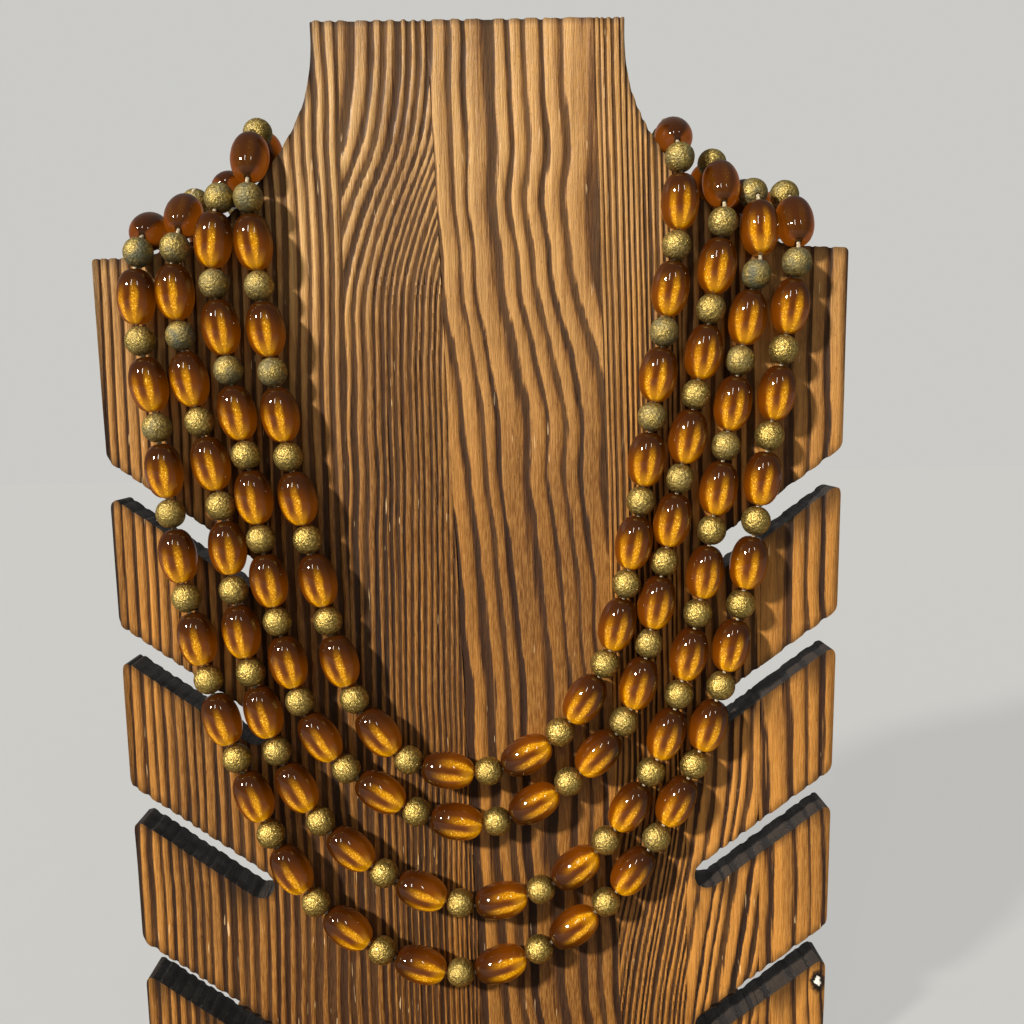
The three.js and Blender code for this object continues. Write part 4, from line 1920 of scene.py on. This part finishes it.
@dataclass
class Necklace:
    """The four strands, their threads and the fastening behind the neck."""

    threading: Threading
    shapes: BeadShapes = field(default_factory=BeadShapes)
    thread_radius: float = 0.55
    thread_sides: int = 8
    thread_twist: float = 5.0
    front_every: int = 6
    front_trim: int = 4
    back_every: int = 12
    front_band: float = 1.5
    # Share of painted glow and painted streaks on amber beads on the front face and elsewhere.
    front_shine: float = 1.0
    hidden_shine: float = 0.06
    ring_radius: float = 4.0
    ring_wire: float = 0.85
    ring_turns: int = 40
    ring_sides: int = 12
    link_wire: float = 0.32
    link_turns: int = 14
    link_sides: int = 6
    link_long: float = 1.7
    link_half: float = 0.78
    sag: float = 5.0
    chain_drop: float = 0.4
    chain_steps: int = 200
    jump_x: float = 51.5
    jump_step: int = 14
    jump_radius: float = 1.5
    jump_tilts: Sequence[float] = (0.5, -0.4, 0.7)

    def nodes_of(self, name: str) -> list[str]:
        """CAD nodes of one strand."""
        words = ("left", "bottom", "right", "over_left", "over_right",
                 "back_left", "back_right")
        return [f"strand_{name}_{word}" for word in words]

    def thread_line(self, plan: StrandPlan) -> Points:
        """The whole thread of a strand.

        Args:
            plan: The strand.

        Returns:
            The line from the left end ring to the right one.
        """
        t = self.threading
        left, right = t.back_line(plan, -1)[::-1], t.back_line(plan, 1)
        over_left = t.over_bead(plan.left)
        over_right = t.over_bead(plan.right)
        every, front = self.back_every, t.front_line(plan)
        parts = [left[::every], [over_left.end, over_left.start],
                 front[self.front_trim:-self.front_trim:self.front_every],
                 [over_right.start, over_right.end], right[::every]]
        return np.vstack(parts)

    def add_tube(self, pile: MeshPile, line: Points, radius: float, sides: int,
                 twist: float = 0.0) -> None:
        """Adds a tube along a line.

        Args:
            pile: Takes it.
            line: Its middle line.
            radius: Its radius.
            sides: Points round it.
            twist: Turns of the ply for each millimetre, stored on the points.
        """
        way = np.gradient(line, axis=0)
        way /= np.linalg.norm(way, axis=1, keepdims=True)
        across = RIGHT if abs(way[0, 1]) > 0.9 else BACK
        rows, runs, run = [], [], 0.0
        angle = np.arange(sides) * 2 * math.pi / sides
        for k, (point, direction) in enumerate(zip(line, way)):
            across = across - direction * (across @ direction)
            across = across / np.linalg.norm(across)
            third = np.cross(direction, across)
            if k:
                run += float(np.linalg.norm(point - line[k - 1]))
            rows.append(point + radius * (
                np.cos(angle)[:, None] * across + np.sin(angle)[:, None] * third))
            runs.append(run * twist + angle * 2)
        verts = np.vstack(rows)
        faces = skin(len(rows), sides, closed=False)
        last = (len(rows) - 1) * sides
        faces.append(tuple(range(sides - 1, -1, -1)))
        faces.append(tuple(last + k for k in range(sides)))
        pile.add(verts, faces, twist=np.concatenate(runs))

    def build_strand(
        self, plan: StrandPlan, amber: bpy.types.Material, brass: bpy.types.Material,
        thread: bpy.types.Material,
    ) -> None:
        """Builds one strand as three joined pieces.

        Args:
            plan: The strand.
            amber: Finish of the barrel beads.
            brass: Finish of the round beads.
            thread: Finish of the thread.
        """
        t = self.threading
        beads = [*t.back_beads(plan, -1), t.over_bead(plan.left), *t.front_beads(plan),
                 t.over_bead(plan.right), *t.back_beads(plan, 1)]
        ambers, brasses, threads = MeshPile(), MeshPile(), MeshPile()
        base = 100 * (ord(plan.name) - ord("A"))
        for number, bead in enumerate(beads):
            if bead.kind is Bead.AMBER:
                middle = (bead.start + bead.end) / 2
                in_front = middle[1] < -t.plane + self.front_band
                # Beads over the edge and behind get little painted light, so they show the darker
                # copy: painted shade.
                shine = self.front_shine if in_front else self.hidden_shine
                self.shapes.add_amber(ambers, bead, base + number, shine)
            else:
                self.shapes.add_brass(brasses, bead, base + number)
        self.add_tube(threads, self.thread_line(plan), self.thread_radius,
                      self.thread_sides, self.thread_twist)
        strand = f"strand_{plan.name}"
        seat(ambers.make(f"{strand}_amber_beads"),
             self.nodes_of(plan.name), [amber])
        seat(brasses.make(f"{strand}_brass_beads"), [], [brass])
        seat(threads.make(f"{strand}_thread"), [], [thread])

    def add_link(
        self, pile: MeshPile, middle: Points, way: Points, flat: Points,
        radius: float | None = None,
    ) -> None:
        """Adds one oval link of the chain, or a round ring.

        Args:
            pile: Takes it.
            middle: Its middle.
            way: Its long way.
            flat: A way in its plane, across.
            radius: Radius of a round ring, if it is one.
        """
        long, half = (radius, radius) if radius else (self.link_long, self.link_half)
        verts, faces = hoop(middle, (way * long, flat * half), np.cross(way, flat),
                            self.link_wire, self.link_turns, self.link_sides)
        pile.add(verts, faces, dull=0.5)

    def build_fastening(self, metal: bpy.types.Material) -> None:
        """The end rings and the fine chain between them.

        Args:
            metal: Their finish.
        """
        t = self.threading
        for side, word in ((-1, "left"), (1, "right")):
            pile = MeshPile()
            verts, faces = hoop(
                np.array([side * t.ring_x, t.plane, t.ring_z]),
                (RIGHT * self.ring_radius, UP * self.ring_radius), BACK,
                self.ring_wire, self.ring_turns, self.ring_sides)
            pile.add(verts, faces, dull=0.45)
            seat(pile.make(f"end_ring_{word}"), [f"end_ring_{word}"], [metal])
        reach = t.ring_x - self.ring_radius
        ends = t.ring_z - self.chain_drop
        line = spline([(-reach, t.plane, ends), (0, t.plane, t.ring_z - self.sag),
                       (reach, t.plane, ends)], self.chain_steps)
        pile = MeshPile()
        total = float(np.linalg.norm(np.diff(line, axis=0), axis=1).sum())
        count = int(total / (2 * (self.link_long - self.link_wire)))
        for k in range(count):
            at = int((k + 0.5) / count * self.chain_steps)
            way = line[min(at + 1, self.chain_steps)] - line[max(at - 1, 0)]
            way = way / np.linalg.norm(way)
            flat = np.cross(way, BACK) if k % 2 else BACK
            self.add_link(pile, line[at], way, flat)
        seat(pile.make("clasp_chain"), ["clasp"], [metal])
        self.build_jump_rings(metal)

    def build_jump_rings(self, metal: bpy.types.Material) -> None:
        """Small rings where the shortest strand's wire is turned back, at the neck.

        Args:
            metal: Their finish.
        """
        line = self.threading.back_line(PLANS[-1], -1)
        start = int(np.argmin(np.abs(line[:, 0] + self.jump_x)))
        pile = MeshPile()
        for number, tilt in enumerate(self.jump_tilts):
            at = start + number * self.jump_step
            way = line[at + 1] - line[at]
            way = way / np.linalg.norm(way)
            up = UP - way * way[2]
            up = up / np.linalg.norm(up)
            flat = np.cross(way, up)
            turned_up = up * math.cos(tilt) + way * math.sin(tilt)
            self.add_link(pile, line[at], turned_up, flat, self.jump_radius)
        seat(pile.make("jump_rings"), [], [metal])

    def build(self) -> None:
        """Builds everything that is worn."""
        amber, brass = AmberGlass().build(), AntiqueBrass().build()
        thread = PaleThread().build()
        metal = AntiqueBrass(
            name="dulled_chain", gold=(150, 140, 110), shade=(80, 74, 60),
            rough=0.3, depth=0.00004).build()
        for plan in PLANS:
            self.build_strand(plan, amber, brass, thread)
        self.build_fastening(metal)


# --------------------------------------------------------------------------
# Foot and studio
# --------------------------------------------------------------------------
def dress_foot(nodes: dict[str, bpy.types.Object]) -> None:
    """Gives the plain foot its wood.

    Args:
        nodes: The CAD nodes by name.
    """
    foot = nodes["foot"]
    wood = BrushedPine(name="foot_pine", rings=RingSource.BY_WIDTH).build()
    foot.data.materials.clear()
    foot.data.materials.append(wood)
    LOG.info("foot: dressed")


@dataclass(frozen=True)
class Lamp:
    """One area lamp: place and aim in metres, power in watts."""

    name: str
    place: Colour
    aim: Colour
    size: tuple[float, float]
    power: float
    mirrored: bool


LAMPS = (
    Lamp("bar_lamp", (-0.34, -1.10, 0.98), (0.0, 0.0, 0.17), (0.05, 0.42), 2.8, True),
    Lamp("side_lamp", (0.42, -1.0, 0.92), (0.0, 0.0, 0.17), (0.04, 0.26), 1.3, True),
    Lamp("sheen_lamp", (0.05, -1.5, 0.60), (0.0, 0.0, 0.27), (0.5, 0.3), 1.0, False),
)


@dataclass
class Studio:
    """Camera, lights and floor."""

    eye: Colour = (5.45, -313.25, 199.3)
    turn: Colour = (84.676, 1.023, -0.875)
    lens: float = 38.97
    sensor: float = 36.0
    floor_half: float = 3.0
    lamp_colour: Colour = (1.0, 0.96, 0.9)
    sun_way: Colour = (1.0, 1.0, -0.72)
    sun_power: float = 6.4
    sun_angle: float = math.radians(5.0)
    room_colour: tuple[float, float, float, float] = (0.60, 0.595, 0.57, 1.0)
    room_light: float = 0.3
    floor_light: float = 0.4
    floor_seen: float = 0.815
    floor_drop: float = 0.0002
    floor_dark: Paint = (76, 75, 73)
    floor_pale: Paint = (81, 80, 78)

    def camera(self) -> None:
        """Sets up the camera."""
        data = bpy.data.cameras.new("camera")
        data.lens, data.sensor_width = self.lens, self.sensor
        data.clip_start, data.clip_end = 0.01, 20.0
        made = linked("camera", data)
        made.location = Vector(self.eye) * MM
        made.rotation_euler = Euler([math.radians(a) for a in self.turn])
        bpy.context.scene.camera = made

    def lamp(self, plan: Lamp) -> None:
        """Adds an area lamp.

        Args:
            plan: Its place, size and power.
        """
        data = bpy.data.lights.new(plan.name, "AREA")
        data.shape = "RECTANGLE"
        data.size, data.size_y = plan.size
        data.energy, data.color = plan.power, self.lamp_colour
        made = linked(plan.name, data)
        made.location = plan.place
        made.rotation_euler = self.facing(Vector(plan.aim) - Vector(plan.place))
        made.visible_glossy = plan.mirrored

    @staticmethod
    def facing(way: Vector) -> Euler:
        """The turn that points a light along a way."""
        return way.to_track_quat("-Z", "Y").to_euler()

    @staticmethod
    def seen_strength(graph: Graph, lighting: float, seen: float) -> bpy.types.NodeSocket:
        """A glow with one strength for lighting and another where it is looked at.

        Args:
            graph: Takes the nodes.
            lighting: Strength where it lights things.
            seen: Strength where the camera sees it.

        Returns:
            The strength.
        """
        camera = graph.add("LightPath").outputs["Is Camera Ray"]
        return graph.plus(lighting, graph.times(camera, seen - lighting))

    def lights(self) -> None:
        """Main light, three softer lamps and pale surroundings."""
        sun = bpy.data.lights.new("main_light", "SUN")
        sun.energy, sun.angle = self.sun_power, self.sun_angle
        sun.color = self.lamp_colour
        linked("main_light", sun).rotation_euler = self.facing(Vector(self.sun_way))
        for plan in LAMPS:
            self.lamp(plan)
        world = bpy.data.worlds.new("pale_room")
        world.use_nodes = True
        graph = Graph(world.node_tree)
        back = world.node_tree.nodes["Background"]
        back.inputs["Color"].default_value = self.room_colour
        graph.join(self.seen_strength(graph, self.room_light, 1.0), back.inputs["Strength"])
        bpy.context.scene.world = world
        bpy.context.scene.view_settings.view_transform = "Standard"

    def floor(self) -> None:
        """A plain pale floor under the foot."""
        half = self.floor_half / MM
        verts = np.array([[-half, -half, 0], [half, -half, 0], [half, half, 0], [-half, half, 0]])
        made = mesh_object("floor", verts, [(0, 1, 2, 3)], smooth=False)
        made.location.z = -self.floor_drop
        material, g, shader = new_material("pale_floor")
        where = g.add("TexCoord").outputs["Object"]
        speck = g.noise(where, 60.0, 4.0)
        colour = g.mix(speck, srgb(*self.floor_dark), srgb(*self.floor_pale))
        g.join(colour, shader.inputs["Base Color"])
        shader.inputs["Roughness"].default_value = 0.9
        shader.inputs["Emission Color"].default_value = self.room_colour
        g.join(self.seen_strength(g, self.floor_light, self.floor_seen),
               shader.inputs["Emission Strength"])
        made.data.materials.append(material)

    def build(self) -> None:
        """Sets up everything round the object."""
        self.camera()
        self.lights()
        self.floor()


def main() -> None:
    """Builds the whole scene."""
    logging.basicConfig(level=logging.INFO, format="%(message)s")
    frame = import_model()
    Studio().build()
    board = BustBoard()
    board.build()
    dress_foot(frame["nodes"])
    Necklace(Threading(board)).build()


if __name__ == "__main__":
    main()
